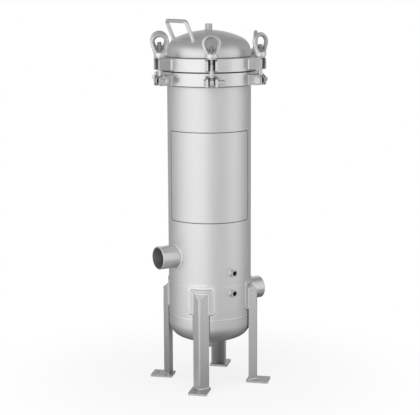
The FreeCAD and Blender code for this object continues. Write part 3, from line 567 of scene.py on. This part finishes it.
def drawn_steel(name, tone, roughness, length=(1, 1, 0.05), shade=None, dull_and_shaded=None):
    """Drawn or rolled bar: long fine scratches along the bar and a soft mottle."""
    finish = Finish(name)
    scratch = finish.noise(0.6 * MM, finish.stretched(*length), detail=3.0)
    mottle = finish.noise(9 * MM, detail=3.0)
    grain = finish.noise(0.5 * MM)
    level = tone + (scratch - 0.5) * 0.07 + (mottle - 0.5) * 0.06
    rough = roughness + (scratch - 0.5) * 0.1 + (mottle - 0.5) * 0.1
    # Inside the pipes: rougher, and darker as painted shade.
    if dull_and_shaded is not None:
        rough = rough + dull_and_shaded(finish) * 0.4
        level = level * (1 - dull_and_shaded(finish) * 0.35)
    return finish.coated(level, rough, scratch * 0.012 * MM + grain * 0.008 * MM, shade)


def cast_steel(name, tone, roughness, bright, where):
    """Precision cast steel: rounded pits and a matt, patchy skin that is bright in some places."""
    finish = Finish(name)
    pits = finish.pits(1.1 * MM)
    grain = finish.noise(0.6 * MM, detail=3.0)
    patches = finish.noise(7 * MM, detail=3.0)
    worn = patches.between(0.5, 0.72)
    # For the lugs these places are ground end faces with painted shade between them; for the eye nuts, a painted
    # highlight on the loops' rims.
    clear = where(finish)
    level = tone + (grain - 0.5) * 0.1 + worn * 0.05 + clear * (bright - tone)
    rough = roughness + (grain - 0.5) * 0.12 - worn * 0.06 - clear * 0.08
    return finish.coated(level, rough, pits * 0.035 * MM + grain * 0.03 * MM)


def weld_steel(name, tone, roughness):
    """Bare weld metal: bright crests with a faint straw and grey tint between the ripples."""
    finish = Finish(name)
    tint = finish.noise(6 * MM, detail=3.0)
    grain = finish.noise(0.5 * MM)
    clean = (tone, tone, tone * 0.985, 1)
    straw = (tone * 0.93, tone * 0.89, tone * 0.82, 1)
    colour = finish.mixed(tint.between(0.55, 0.75) * 0.5, clean, straw)
    return finish.coated(colour, roughness + (tint - 0.5) * 0.15, grain * 0.02 * MM)


def rubber(name):
    """Black rubber with a faint grey bloom."""
    finish = Finish(name, metallic=0.0)
    bloom = finish.noise(8 * MM, detail=3.0)
    grain = finish.noise(0.4 * MM)
    return finish.coated(bloom * 0.02 + 0.018, bloom * 0.15 + 0.6, grain * 0.01 * MM)


def moulded_plastic(name):
    """Off-white plastic with a satin skin."""
    finish = Finish(name, metallic=0.0)
    cloud = finish.noise(20 * MM)
    grain = finish.noise(0.5 * MM)
    return finish.coated(cloud * 0.06 + 0.78, grain * 0.1 + 0.42, grain * 0.008 * MM)


def filter_felt(name):
    """White felt of fibres that lie mostly upright."""
    finish = Finish(name, metallic=0.0)
    fibre = finish.noise(0.35 * MM, finish.stretched(1, 1, 0.25), detail=4.0)
    stain = finish.noise(25 * MM, detail=3.0)
    return finish.coated(fibre * 0.1 + stain * 0.05 + 0.72, 0.9, fibre * 0.08 * MM)


def printed_line(name):
    """Dark grey ink on the blasted shell."""
    finish = Finish(name, metallic=0.0)
    wear = finish.noise(2.5 * MM, detail=3.0)
    return finish.coated(wear * 0.03 + 0.06, wear * 0.1 + 0.5, wear * 0.01 * MM)


# Each finish's name, brightness and roughness come first.
WELD = weld_steel("weld_metal", 0.88, 0.32)
# The welds round the rings are coloured dark as painted shade along the rings' edges.
SHADED_WELD = weld_steel("ring_weld_painted_shade", 0.30, 0.42)
THREAD = drawn_steel("cut_thread", 0.64, 0.36, shade=bolt_shade)
INK = printed_line("panel_line_ink")
FINISHES = {
    "shell_steel": blasted_steel("blasted_shell", 0.80, 0.44, welds=True, shade=shell_shade),
    "ring_steel": turned_steel("turned_ring", 0.83, 0.28, shade=joint_shade),
    "leg_steel": drawn_steel("leg_bar", 0.74, 0.42, shade=leg_shade),
    "pad_steel": blasted_steel("pad_sheet", 0.70, 0.42, shade=pad_shade),
    "lug_steel": cast_steel("cast_lug", 0.56, 0.46, bright=0.86, where=ground_ends_and_shade),
    "pipe_steel": drawn_steel("satin_pipe", 0.76, 0.31, (0.05, 1, 1), pipe_shade, pipe_inside),
    "fitting_steel": turned_steel("turned_fitting", 0.62, 0.34),
    "handle_steel": drawn_steel("handle_bar", 0.86, 0.36, (1, 0.3, 0.3)),
    "bolt_steel": drawn_steel("bolt_shank", 0.72, 0.32, shade=bolt_shade),
    "pin_steel": drawn_steel("pin_bar", 0.74, 0.32, (1, 1, 1), shade=pin_shade),
    "washer_steel": turned_steel("pressed_washer", 0.72, 0.36),
    "nut_steel": cast_steel("cast_eye_nut", 0.47, 0.44, bright=0.84, where=painted_rim_highlight_and_hub),
    "inner_steel": blasted_steel("inner_sheet", 0.74, 0.45),
    "seal_rubber": rubber("seal_rubber"),
    "filter_sheet": filter_felt("filter_felt"),
    "cartridge_plastic": moulded_plastic("cartridge_plastic"),
}


# Pieces that have a finish other than the rest of their slot
OWN_FINISHES = {"leg_caps": drawn_steel("cap_sheet", 0.96, 0.62),
                "foot_plates": drawn_steel("foot_plate", 0.86, 0.44, (1, 1, 1), plate_shade)}

# The bent corners of the legs are rounded on their outer side.
LEGS = ["leg_front_left", "leg_front_right", "leg_rear_left", "leg_rear_right"]
BENT = LEGS + ["leg_caps"]

# Pieces whose sawn or cast edges are broken, and by how much
BROKEN_EDGES = {"cover_lugs": 0.9 * MM, "clevis_lugs": 0.8 * MM, "clevis_pins": 0.5 * MM,
                "foot_plates": 0.6 * MM, "leg_caps": 0.4 * MM, "leg_pads": 0.4 * MM}
BROKEN_EDGES.update({name: 0.5 * MM for name in LEGS})
BROKEN_EDGES.update({f"swing_bolt_{number}": 1.2 * MM for number in range(1, CLAMPS + 1)})

# Smoothing of the CAD nodes' facets
SAME_PLACE = 0.002 * MM
SHARP_FROM = math.radians(28)
BROKEN_FROM = math.radians(40)


def round_heels(part):
    """Bevel the edges whose ends lie on a leg's ridge: x and y both RIDGE / sqrt(2) from the axis."""
    places = np.empty(len(part.data.vertices) * 3)
    part.data.vertices.foreach_get("co", places)
    flat = np.abs(places.reshape(-1, 3)[:, :2]) * math.sqrt(2)
    on_ridge = np.nonzero((np.abs(flat - RIDGE) < 0.1 * MM).all(axis=1))[0]
    group = part.vertex_groups.new(name="heel")
    group.add(on_ridge.tolist(), 1.0, "REPLACE")
    bevel = part.modifiers.new("heel", "BEVEL")
    bevel.limit_method = "VGROUP"
    bevel.vertex_group = group.name
    bevel.width = HEEL_ROUND
    bevel.segments = 5
    bevel.use_clamp_overlap = False


def dress_nodes():
    """Give each CAD node its finish, smooth its round faces and break its edges."""
    slots = {entry["node"]: entry["material_slot"] for entry in frame["record"]["subparts"]}
    for name, part in frame["nodes"].items():
        part.data.materials.clear()
        part.data.materials.append(OWN_FINISHES.get(name, FINISHES[slots[name]]))
        part.data.polygons.foreach_set("use_smooth", np.ones(len(part.data.polygons), bool))
        weld = part.modifiers.new("join", "WELD")
        weld.merge_threshold = SAME_PLACE
        if name in BENT:
            round_heels(part)
        if name in BROKEN_EDGES:
            bevel = part.modifiers.new("broken_edges", "BEVEL")
            bevel.width = BROKEN_EDGES[name]
            bevel.segments = 3
            bevel.angle_limit = BROKEN_FROM
        split = part.modifiers.new("edges", "EDGE_SPLIT")
        split.split_angle = SHARP_FROM
        if name in BROKEN_EDGES:
            flat = part.modifiers.new("flat_faces", "WEIGHTED_NORMAL")
            flat.keep_sharp = True


# Welds

RIPPLE = 2.3 * MM
BEAD_STEP = 0.48 * MM
BEAD_SIDES = 10

# Half width of each bead and, where it isn't round, its height as a share of that
PIPE_BEAD, PORT_BEAD, VENT_BEAD, DRAIN_BEAD = 3.4 * MM, 2.4 * MM, 1.5 * MM, 2.2 * MM
RING_FOOT_BEAD, RING_TOP_BEAD, HANDLE_BEAD = 2.0 * MM, 1.8 * MM, 1.7 * MM
BOTTOM_SEAM_BEAD, SHEET_SEAM_BEAD, PAD_BEAD = (2.4 * MM, 0.16), (1.2 * MM, 0.10), (3.4 * MM, 0.42)
LEG_BEAD, CAP_BEAD, PLATE_BEAD = 2.2 * MM, 1.25 * MM, 1.9 * MM
EAR_BEAD, CHEEK_BEAD = 2.9 * MM, 1.2 * MM


def bead(path, across, size, flat=1.0, loop=False):
    """A weld bead: a round profile whose size swells in scales, size * (1 + 0.1 * scale).

    scale falls from 1 to 0 over each ripple, and its front lags on the profile's sides. An open
    bead's ends close as the square root of the distance to them.
    """
    path = np.asarray(path)
    stack = evenly(np.hstack([path, np.broadcast_to(across, path.shape)]), BEAD_STEP, loop)
    path, across = stack[:, :3], stack[:, 3:]
    ripples = max(round(len(path) * BEAD_STEP / RIPPLE), 1)
    along = np.arange(len(path))[:, None] / len(path) * ripples
    angle = np.linspace(0, TURN, BEAD_SIDES, endpoint=False)[None, :]
    scale = 1 - np.mod(along + 0.35 * np.cos(angle), 1.0)
    wobble = 1 + 0.05 * np.sin(along * 0.7) + 0.04 * np.sin(along * 1.9 + 1)
    reach = size * wobble * (1 + 0.1 * scale)
    if not loop:
        steps = np.arange(len(path))
        distance = np.minimum(steps, steps[::-1])[:, None] * BEAD_STEP
        reach = reach * np.sqrt(np.clip(distance / size, 0.05, 1))
    profile = np.stack([reach * flat * np.cos(angle), reach * np.sin(angle)], axis=-1)
    return carried(path, across, profile, loop)


def ring_bead(radius, height, size, flat=1.0):
    """A bead round the vessel axis: (radius cos t, radius sin t, height)."""
    angle = np.linspace(0, TURN, 360, endpoint=False)
    out = points(np.cos(angle), np.sin(angle), 0)
    return bead(out * radius + points(0, 0, height), out, size, flat, loop=True)


def saddle_bead(azimuth, height, pipe, size):
    """Where a pipe meets the shell: (sqrt(R^2 - (r cos t)^2), r cos t, height + r sin t)."""
    t = np.linspace(0, TURN, 240, endpoint=False)
    side = pipe * np.cos(t)
    out = np.sqrt(SHELL_RADIUS ** 2 - side ** 2)
    path = points(out, side, height + pipe * np.sin(t))
    normal = points(out / SHELL_RADIUS, side / SHELL_RADIUS, 0)
    return bead(turned(path, azimuth), turned(normal, azimuth), size, loop=True)


def pad_bead(azimuth):
    """Up one side of a leg pad, over its top and down the other. Its foot is left open."""
    middle, half = (PAD_FOOT + PAD_TOP) / 2, (PAD_TOP - PAD_FOOT) / 2
    flat = rounded_rectangle(PAD_HALF_ANGLE * SHELL_RADIUS, half, PAD_CORNER)
    upper = flat[flat[:, 1] > 0]
    side, start = upper[0, 0], 5 * MM - half
    flat = np.vstack([[side, start], upper, [-side, start]])
    flat = evenly(flat, 1 * MM) + [0, middle]
    path, out = wrapped(flat, azimuth, SHELL_RADIUS + 0.8 * MM)
    return bead(path, out, *PAD_BEAD)


def on_flat_cylinder(radius, side, height):
    """Places at a sideways distance and a height on a cylinder, facing +X."""
    return points(np.sqrt(radius ** 2 - side ** 2), side, height)


def up_and_over(radius, half, rise, top, count):
    """Places on a cylinder: up one side, count of them along the top, down the other side."""
    side = np.full(len(rise), half)
    sides = np.concatenate([side, np.linspace(half, -half, count), -side])
    heights = np.concatenate([rise, np.full(count, top), rise[::-1]])
    return on_flat_cylinder(radius, sides, heights)


def leg_beads(azimuth):
    """Leg to pad: up one edge, over the cap and down the other. Cap to leg. Leg to foot plate.

    The last two follow the leg's section, whose heel is an arc of HEEL_ROUND.
    """
    seam = up_and_over(PAD_RADIUS, LEG_HALF, [PAD_FOOT, LEG_TOP - 1 * MM], LEG_TOP, 20)
    edge = np.linspace(LEG_HALF, -LEG_HALF, 61)
    heel = np.sqrt(np.maximum(HEEL_ROUND ** 2 - edge ** 2, 0)) - math.sqrt(2) * HEEL_ROUND
    out = RIDGE + np.where(abs(edge) < HEEL_ROUND * math.sqrt(0.5), heel, -abs(edge))
    cap = points(out, edge, LEG_TOP - (out - PAD_RADIUS) * math.tan(CAP_SLOPE) - 0.8 * MM)
    foot = points(out, edge, FOOT_TOP)
    return [bead(turned(seam, azimuth), turned(OUTWARDS, azimuth), LEG_BEAD),
            bead(turned(cap[1:-1], azimuth), UPWARDS, CAP_BEAD),
            bead(turned(foot, azimuth), UPWARDS, PLATE_BEAD)]


def lug_beads(azimuth):
    """Ear to cover ring on three sides, and each clevis cheek to the body's ring all round."""
    ear = up_and_over(FLANGE_RADIUS, EAR_HALF, [FLANGE_TOP - 1 * MM], EAR_FOOT, 12)
    across = turned(OUTWARDS, azimuth)
    beads = [bead(turned(ear, azimuth), across, EAR_BEAD)]
    for side in (1, -1):
        middle = side * (CHEEK_INNER + CHEEK_OUTER) / 2
        half_width = (CHEEK_OUTER - CHEEK_INNER) / 2
        flat = rounded_rectangle(half_width, (CHEEK_TOP - CHEEK_FOOT) / 2, 0.6 * MM)
        flat = flat + [middle, (CHEEK_TOP + CHEEK_FOOT) / 2]
        cheek = on_flat_cylinder(FLANGE_RADIUS, *flat.T)
        beads.append(bead(turned(cheek, azimuth), across, CHEEK_BEAD, loop=True))
    return beads


def dome_height(radius):
    """Height of the cover's outside: a crown arc, then the knuckle arc."""
    tangent = COVER_TIP - (CROWN_RADIUS - HEAD_DROP)
    centre = SHELL_RADIUS - KNUCKLE_RADIUS
    joint = centre * CROWN_RADIUS / (CROWN_RADIUS - KNUCKLE_RADIUS)
    crown = tangent - HEAD_DROP + np.sqrt(np.maximum(CROWN_RADIUS ** 2 - radius ** 2, 0))
    knuckle = tangent + np.sqrt(np.maximum(KNUCKLE_RADIUS ** 2 - (radius - centre) ** 2, 0))
    return np.where(radius < joint, crown, knuckle)


def handle_beads():
    """The bar's outline followed down its own direction to the dome, by halving the distance."""
    lean = np.array([math.sin(HANDLE_LEAN), 0, math.cos(HANDLE_LEAN)])
    front = np.array([math.cos(HANDLE_LEAN), 0, -math.sin(HANDLE_LEAN)])
    start = turned(np.array([HANDLE_RADIUS, 0, dome_height(HANDLE_RADIUS)]), HANDLE_AZIMUTH)
    down = turned(lean, HANDLE_AZIMUTH)
    t = np.linspace(0, TURN, 60, endpoint=False)
    beads = []
    for side in (HANDLE_HALF_SPAN, -HANDLE_HALF_SPAN):
        local = np.outer(HANDLE_BAR * np.cos(t), front) + points(0, side + HANDLE_BAR * np.sin(t), 0)
        origin = turned(local, HANDLE_AZIMUTH) + start
        below, above = np.full(len(t), -30 * MM), np.full(len(t), 30 * MM)
        for _ in range(24):
            middle = (below + above) / 2
            spot = origin + middle[:, None] * down
            inside = spot[:, 2] < dome_height(np.hypot(spot[:, 0], spot[:, 1]))
            below, above = np.where(inside, middle, below), np.where(inside, above, middle)
        seam = origin + middle[:, None] * down
        beads.append(bead(seam, down, HANDLE_BEAD, loop=True))
    return beads


def make_welds():
    """Every weld bead, gathered into one piece for each kind of part that it holds."""
    crown_drop = CROWN_RADIUS - math.sqrt(CROWN_RADIUS ** 2 - COUPLING_RADIUS ** 2)
    pipe = PIPE_RADIUS + 1.3 * MM
    vessel = [saddle_bead(math.pi, INLET_HEIGHT, pipe, PIPE_BEAD),
              saddle_bead(0, OUTLET_HEIGHT, pipe, PIPE_BEAD),
              ring_bead(COUPLING_RADIUS, COVER_TIP - crown_drop, VENT_BEAD),
              ring_bead(COUPLING_RADIUS, BOTTOM_TIP + crown_drop, DRAIN_BEAD)]
    for node in PORTS:
        vessel.append(saddle_bead(PORT_AZIMUTH, middle_height(node), COUPLING_RADIUS, PORT_BEAD))
    piece("vessel_welds", vessel, WELD)
    rings = [ring_bead(SHELL_RADIUS, FLANGE_FOOT, RING_FOOT_BEAD),
             ring_bead(SHELL_RADIUS, FLANGE_TOP, RING_TOP_BEAD)]
    piece("ring_welds", rings, SHADED_WELD)
    seams = [ring_bead(SHELL_RADIUS, BOTTOM_SEAM, *BOTTOM_SEAM_BEAD),
             ring_bead(SHELL_RADIUS, SHEET_SEAM, *SHEET_SEAM_BEAD)]
    piece("shell_seams", seams, FINISHES["shell_steel"])
    legs = [pad_bead(azimuth) for azimuth in LEG_AZIMUTHS]
    for azimuth in LEG_AZIMUTHS:
        legs += leg_beads(azimuth)
    piece("leg_welds", legs, WELD)
    lugs = []
    for azimuth in CLAMP_AZIMUTHS:
        lugs += lug_beads(azimuth)
    piece("lug_welds", lugs, WELD)
    piece("handle_welds", handle_beads(), WELD)


# Placing what repeats

def moved(surface, azimuth, offset=(0, 0, 0)):
    """A surface turned about the vessel axis and then shifted."""
    grid, loop = surface
    return turned(grid, azimuth) + np.array(offset), loop


def laid_outwards(surface, azimuth, height):
    """A surface round Z from the vessel axis outwards: Z becomes the direction of the azimuth."""
    grid, loop = surface
    x, y, z = grid[..., 0], grid[..., 1], grid[..., 2]
    return turned(points(z, x, y + height), azimuth), loop


def bolt_axis(azimuth):
    """Where a clamp's bolt stands, at the floor's height."""
    return BOLT_CIRCLE * math.cos(azimuth), BOLT_CIRCLE * math.sin(azimuth), 0


# Threads

def thread(root, depth, pitch, start, end, inward=False):
    """A rib round a helix (r cos t, r sin t, start + pitch t / turn), its height easing in and out."""
    turns = (end - start) / pitch
    t = np.linspace(0, turns * TURN, int(turns * 30))
    out = points(np.cos(t), np.sin(t), 0)
    path = out * root + points(0, 0, start + pitch * t / TURN)
    rib = np.array([[-0.3, -0.47], [0.0, -0.43], [1.0, -0.07],
                    [1.0, 0.07], [0.0, 0.43], [-0.3, 0.47]])
    ease = np.clip(np.minimum(t, t[-1] - t) / 2.5, 0.04, 1)
    profile = rib[None] * np.stack([depth * ease, np.full(len(t), pitch)], axis=1)[:, None]
    return carried(path, -out if inward else out, profile)


def coupling_thread(start, end):
    """The thread inside a coupling that lies on the Z axis."""
    return thread(COUPLING_BORE, COUPLING_DEPTH, COUPLING_PITCH, start, end, inward=True)


def make_threads():
    """Threads on the six bolts and in the four couplings."""
    start, end = FLANGE_TOP - SHANK_THREAD, SHANK_END - 0.9 * MM
    rib = thread(SHANK_RADIUS, SHANK_DEPTH, SHANK_PITCH, start, end)
    for number, azimuth in enumerate(CLAMP_AZIMUTHS, start=1):
        placed = moved(rib, azimuth, bolt_axis(azimuth))
        piece(f"bolt_thread_{number}", [placed], THREAD, f"swing_bolt_{number}")
    inner = []
    for node in PORTS:
        mouth = -low(node)[1] - CHAMFER
        rib = coupling_thread(mouth - COUPLING_THREAD, mouth)
        inner.append(laid_outwards(rib, PORT_AZIMUTH, middle_height(node)))
    for mouth, inwards in ((high("vent_coupling")[2], -1), (low("drain_coupling")[2], 1)):
        ends = (mouth + inwards * CHAMFER, mouth + inwards * (CHAMFER + COUPLING_THREAD))
        inner.append(coupling_thread(min(ends), max(ends)))
    piece("coupling_threads", inner, THREAD)


# Eye nuts

FOOT_SWELL, SWELL_HEIGHT = 2.9 * MM, 6.5 * MM
PARTING_LINE = (0.5 * MM, 0.35 * MM)


def make_eye_nuts():
    """A swelling at each foot of the loop, and the raised line left where the mould parts.

    The swelling is FOOT_SWELL * exp(-(height / SWELL_HEIGHT)^2) round the loop's straight limb.
    """
    drop = LOOP_RISE + LOOP_FOOT_DEPTH
    reach = math.hypot(drop, LOOP_FOOT_SPACING)
    lean = math.asin(LOOP_RADIUS / reach) - math.atan(LOOP_FOOT_SPACING / drop)
    side, rise = LOOP_RADIUS * math.cos(lean), LOOP_RADIUS * math.sin(lean)
    foot = np.array([0, LOOP_FOOT_SPACING, HUB_TOP - LOOP_FOOT_DEPTH])
    shoulder = np.array([0, side, HUB_TOP + LOOP_RISE - rise])
    limb = shoulder - foot
    along = np.linspace(0.0, 0.75, 26)[:, None]
    height = along[:, 0] * limb[2] - LOOP_FOOT_DEPTH
    swell = FOOT_SWELL * np.exp(-(np.maximum(height, 0) / SWELL_HEIGHT) ** 2)
    path = foot + along * limb - points(0, swell, 0)
    outline = circle(1, 24)[None] * (LOOP_BAR + 0.05 * MM + swell)[:, None, None]
    swelling = carried(path, OUTWARDS, outline)
    angle = np.linspace(-lean, math.pi + lean, 60)
    ring = LOOP_RADIUS + LOOP_BAR
    arc = points(0, ring * np.cos(angle), HUB_TOP + LOOP_RISE + ring * np.sin(angle))
    beyond = unit(points(0, math.cos(-lean), math.sin(-lean))) * LOOP_BAR
    right = foot + np.linspace(0.25, 1, 12)[:, None] * limb + beyond
    seam = np.vstack([right, arc[1:-1], (right * OTHER_SIDE)[::-1]])
    parting = carried(evenly(seam, 1.2 * MM), OUTWARDS, circle(1, 6) * PARTING_LINE)
    surfaces = (swelling, (swelling[0] * OTHER_SIDE, False), parting)
    for number, (azimuth, degrees) in enumerate(zip(CLAMP_AZIMUTHS, NUT_DEGREES), start=1):
        turn = azimuth + math.radians(degrees)
        parts = [moved(surface, turn, bolt_axis(azimuth)) for surface in surfaces]
        piece(f"eye_nut_cast_{number}", parts, FINISHES["nut_steel"], f"eye_nut_{number}")


# Split pins

PIN_WIRE = 0.72 * MM
PIN_EYE = 2.1 * MM


def make_split_pins():
    """One wire: up a leg, round the eye, down the other leg, both tips bent apart."""
    top, tip_drop = PIN_RADIUS + 7 * MM, 4.5 * MM
    gap = PIN_WIRE * 0.98
    swing = np.linspace(math.radians(-68), math.radians(248), 26)
    ring = points(0, PIN_EYE * np.cos(swing), top + PIN_EYE * np.sin(swing))
    leg = points(0, gap, np.linspace(-PIN_RADIUS, PIN_RADIUS + 3 * MM, 8))
    bend = np.linspace(0, 1, 8)
    tip = points(0, gap + 3.6 * MM * bend ** 2, -PIN_RADIUS - tip_drop * bend)[1:][::-1]
    half = np.vstack([tip, leg])
    path = evenly(np.vstack([half, ring, (half * OTHER_SIDE)[::-1]]), 0.5 * MM)
    path = path + [BOLT_CIRCLE, SPLIT_PIN_ASIDE, PIN_HEIGHT]
    wire = carried(path, OUTWARDS, circle(PIN_WIRE, 10))
    pins = [moved(wire, azimuth) for azimuth in CLAMP_AZIMUTHS]
    made = piece("split_pin_wires", pins, FINISHES["pin_steel"])
    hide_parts("split_pins")


# Panel line on the shell

PANEL_AZIMUTH = math.radians(237.5)
PANEL_HALF_ANGLE = math.radians(64.6)
PANEL_FOOT, PANEL_TOP = 445.5 * MM, 680 * MM
PANEL_CORNER = 6 * MM


def make_panel_line():
    """A printed frame with nothing in it: a flat strip carried round a rounded rectangle."""
    half = (PANEL_TOP - PANEL_FOOT) / 2
    flat = rounded_rectangle(PANEL_HALF_ANGLE * SHELL_RADIUS, half, PANEL_CORNER)
    flat = evenly(flat, 1.5 * MM, loop=True) + [0, (PANEL_TOP + PANEL_FOOT) / 2]
    path, out = wrapped(flat, PANEL_AZIMUTH, SHELL_RADIUS)
    strip = np.array([[-0.2, -1.0], [0.12, -1.0], [0.12, 1.0], [-0.2, 1.0]]) * MM
    piece("panel_line", [carried(path, out, strip, loop=True)], INK, sharp=30)


# Stage, light and camera

VIEW_AZIMUTH = math.radians(-32.54)
VIEW_DISTANCE = 3.3675
VIEW_HEIGHT = 1.0657
VIEW_YAW, VIEW_PITCH, VIEW_ROLL = (math.radians(angle) for angle in (-0.019, 10.052, -0.256))
FOCAL_PIXELS, PHOTO_WIDTH, SENSOR_WIDTH = 1289.17, 420, 36


def make_camera():
    """The camera that was fitted to the photograph."""
    heading = VIEW_AZIMUTH + VIEW_YAW
    level, dip = math.cos(VIEW_PITCH), math.sin(VIEW_PITCH)
    forward = Vector((-math.sin(heading) * level, math.cos(heading) * level, -dip))
    right = Vector((math.cos(heading), math.sin(heading), 0))
    up = right.cross(forward)
    c, s = math.cos(VIEW_ROLL), math.sin(VIEW_ROLL)
    side, top = c * right + s * up, c * up - s * right
    data = bpy.data.cameras.new("photo_camera")
    data.sensor_width = SENSOR_WIDTH
    data.lens = SENSOR_WIDTH * FOCAL_PIXELS / PHOTO_WIDTH
    data.clip_end = 50
    camera = bpy.data.objects.new("photo_camera", data)
    place = Vector((math.sin(VIEW_AZIMUTH), -math.cos(VIEW_AZIMUTH), 0)) * VIEW_DISTANCE
    place.z = VIEW_HEIGHT
    turn = Matrix((side, top, -forward)).transposed()
    camera.matrix_world = Matrix.Translation(place) @ turn.to_4x4()
    bpy.context.scene.collection.objects.link(camera)
    bpy.context.scene.camera = camera


def seen_by(tree, *kinds):
    """1 for the rays of these kinds."""
    path = tree.tree.nodes.new("ShaderNodeLightPath")
    total = Number(tree, path.outputs[kinds[0]])
    for kind in kinds[1:]:
        total = total + Number(tree, path.outputs[kind])
    return total.least(1.0)


PLAIN_LIGHT = 0.55


def make_world():
    """White behind the housing, plain light everywhere else."""
    world = bpy.data.worlds.new("studio")
    world.use_nodes = True
    bpy.context.scene.world = world
    tree = Tree(world.node_tree)
    white = seen_by(tree, "Is Camera Ray", "Is Transmission Ray")
    light = tree.node("ShaderNodeBackground", sockets={
        "Color": (1, 1, 1, 1), "Strength": PLAIN_LIGHT + white * (1 - PLAIN_LIGHT)})
    tree.node("ShaderNodeOutputWorld", sockets={"Surface": light})


def stage_mesh(name, vertices, faces):
    """A mesh of the stage, which isn't part of the model, and the tree of its material."""
    mesh = bpy.data.meshes.new(name)
    mesh.from_pydata(vertices, [], faces)
    made = bpy.data.objects.new(name, mesh)
    bpy.context.scene.collection.objects.link(made)
    material = bpy.data.materials.new(name + "_surface")
    material.use_nodes = True
    mesh.materials.append(material)
    return made, Tree(material.node_tree)


# The light tent's panels: each has its brightness and the azimuths, in degrees
# to the camera's right, between which it fades in and out.
TENT_GREY = 0.36
TENT_PANELS = {"left_panel": (0.66, -135, -45, -14, 12), "right_panel": (0.48, 40, 60, 70, 118),
               "front_gap": (0.25, -14, 12, 40, 60), "rear_panel": (0.4, 150, 165, 195, 210)}
TENT_RADIUS, TENT_FOOT, TENT_TOP = 1.0, -0.1, 2.4
TENT_SIDES = 48

# What is left of a panel's brightness in a band of the floor round the housing, which is
# whole up to one distance from its middle radius and has faded away at the other.
BAND_RADIUS, BAND_WHOLE, BAND_GONE = 0.7, 0.08, 0.28
BAND_SHARES = {"right_panel": 0.1, "front_gap": 2.0}


def tent_pattern(tree):
    """The panels' brightness at a place, its distance from the vessel axis and its height."""
    split = tree.tree.nodes.new("ShaderNodeSeparateXYZ")
    tree.feed(split.inputs[0], tree.node("ShaderNodeTexCoord", output="Object"))
    x, y, z = (Number(tree, split.outputs[index]) for index in range(3))
    c, s = math.cos(VIEW_AZIMUTH), math.sin(VIEW_AZIMUTH)
    azimuth = (x * c + y * s).math("ARCTAN2", x * s - y * c) * math.degrees(1)
    away = diagonal(x, y)
    band = abs(away - BAND_RADIUS).between(BAND_GONE, BAND_WHOLE)
    level = 0.0
    for name, (strength, *degrees) in TENT_PANELS.items():
        change = BAND_SHARES.get(name, 1.0) - 1
        share = (band * change + 1) * strength
        for whole_turn in (0, 360) if degrees[-1] > 180 else (0,):
            start, full, fading, end = (angle - whole_turn for angle in degrees)
            level = azimuth.between(start, full) * azimuth.between(end, fading) * share + level
    return level, away, z


FLOOR_REACH, FLOOR_DROP = 6.0, 0.2 * MM
PAPER = 0.93


def make_floor():
    """A pale floor that keeps the shadow and fades into the white background.

    In shiny surfaces it shows the tent's pattern, with painted shade near the housing.
    """
    corners = [(x * FLOOR_REACH, y * FLOOR_REACH, -FLOOR_DROP)
               for x, y in ((-1, -1), (1, -1), (1, 1), (-1, 1))]
    _, tree = stage_mesh("floor", corners, [(0, 1, 2, 3)])
    panels, away, _ = tent_pattern(tree)
    paper = tree.node("ShaderNodeBsdfDiffuse", sockets={"Color": (PAPER, PAPER, PAPER, 1)})
    in_shine = seen_by(tree, "Is Glossy Ray")
    painted_shade_near = 0.45 + away.between(0.1, TENT_RADIUS) * 0.55
    sheen = (panels + TENT_GREY) * painted_shade_near
    white = tree.node("ShaderNodeEmission", sockets={
        "Color": (1, 1, 1, 1), "Strength": in_shine * (sheen - 1) + 1})
    far = (0.8 + away.between(0.2, 0.7) * 0.2) * seen_by(tree, "Is Camera Ray")
    mixed = tree.node("ShaderNodeMixShader", sockets={0: far.most(in_shine), 1: paper, 2: white})
    tree.node("ShaderNodeOutputMaterial", sockets={"Surface": mixed})


def make_light_tent():
    """A round wall with a closed top, seen only by shiny surfaces.

    The panels fade into plain grey towards the top.
    """
    angle = np.linspace(0, TURN, TENT_SIDES, endpoint=False)
    edge = TENT_RADIUS * points(np.cos(angle), np.sin(angle), 0)
    corners = np.vstack([edge + TENT_FOOT * UPWARDS, edge + TENT_TOP * UPWARDS])
    first = np.arange(TENT_SIDES)
    after = (first + 1) % TENT_SIDES
    walls = np.stack([first, after, after + TENT_SIDES, first + TENT_SIDES], axis=1).tolist()
    roof = list(range(TENT_SIDES, 2 * TENT_SIDES))
    tent, tree = stage_mesh("light_tent", corners.tolist(), walls + [roof])
    panels, _, height = tent_pattern(tree)
    shade = 1 - height.between(1.3, 2.0) * 0.26 + height.between(2.3, 2.39) * 0.15
    light = shade * TENT_GREY + panels * height.between(1.65, 1.25)
    glow = tree.node("ShaderNodeEmission", sockets={"Color": (1, 1, 1, 1), "Strength": light})
    tree.node("ShaderNodeOutputMaterial", sockets={"Surface": glow})
    for rays in ("camera", "diffuse", "shadow", "transmission"):
        setattr(tent, "visible_" + rays, False)


# Each lamp's azimuth to the camera's right and elevation in degrees, its distance
# from the place that the lamps aim at, its width, and its power in watts.
LAMPS = {"key_lamp": (-36, 34, 2.6, 1.6, 12),
         "fill_lamp": (72, 28, 2.6, 1.4, 6),
         "top_lamp": (10, 80, 2.8, 2.0, 14)}
LAMPS_AIM = Vector((0, 0, 0.5))


def make_lamps():
    """Soft square lamps aimed at the middle of the housing."""
    for name, (azimuth, elevation, distance, width, watts) in LAMPS.items():
        data = bpy.data.lights.new(name, "AREA")
        data.shape = "SQUARE"
        data.size = width
        data.energy = watts
        lamp = bpy.data.objects.new(name, data)
        angle = VIEW_AZIMUTH - TURN / 4 + math.radians(azimuth)
        rise = math.radians(elevation)
        level = math.cos(rise)
        away = Vector((math.cos(angle) * level, math.sin(angle) * level, math.sin(rise)))
        lamp.location = LAMPS_AIM + away * distance
        lamp.rotation_euler = away.to_track_quat("Z", "Y").to_euler()
        bpy.context.scene.collection.objects.link(lamp)


dress_nodes()
make_welds()
make_threads()
make_eye_nuts()
make_split_pins()
make_panel_line()
make_world()
make_floor()
make_light_tent()
make_lamps()
make_camera()
bpy.context.scene.view_settings.view_transform = "Standard"
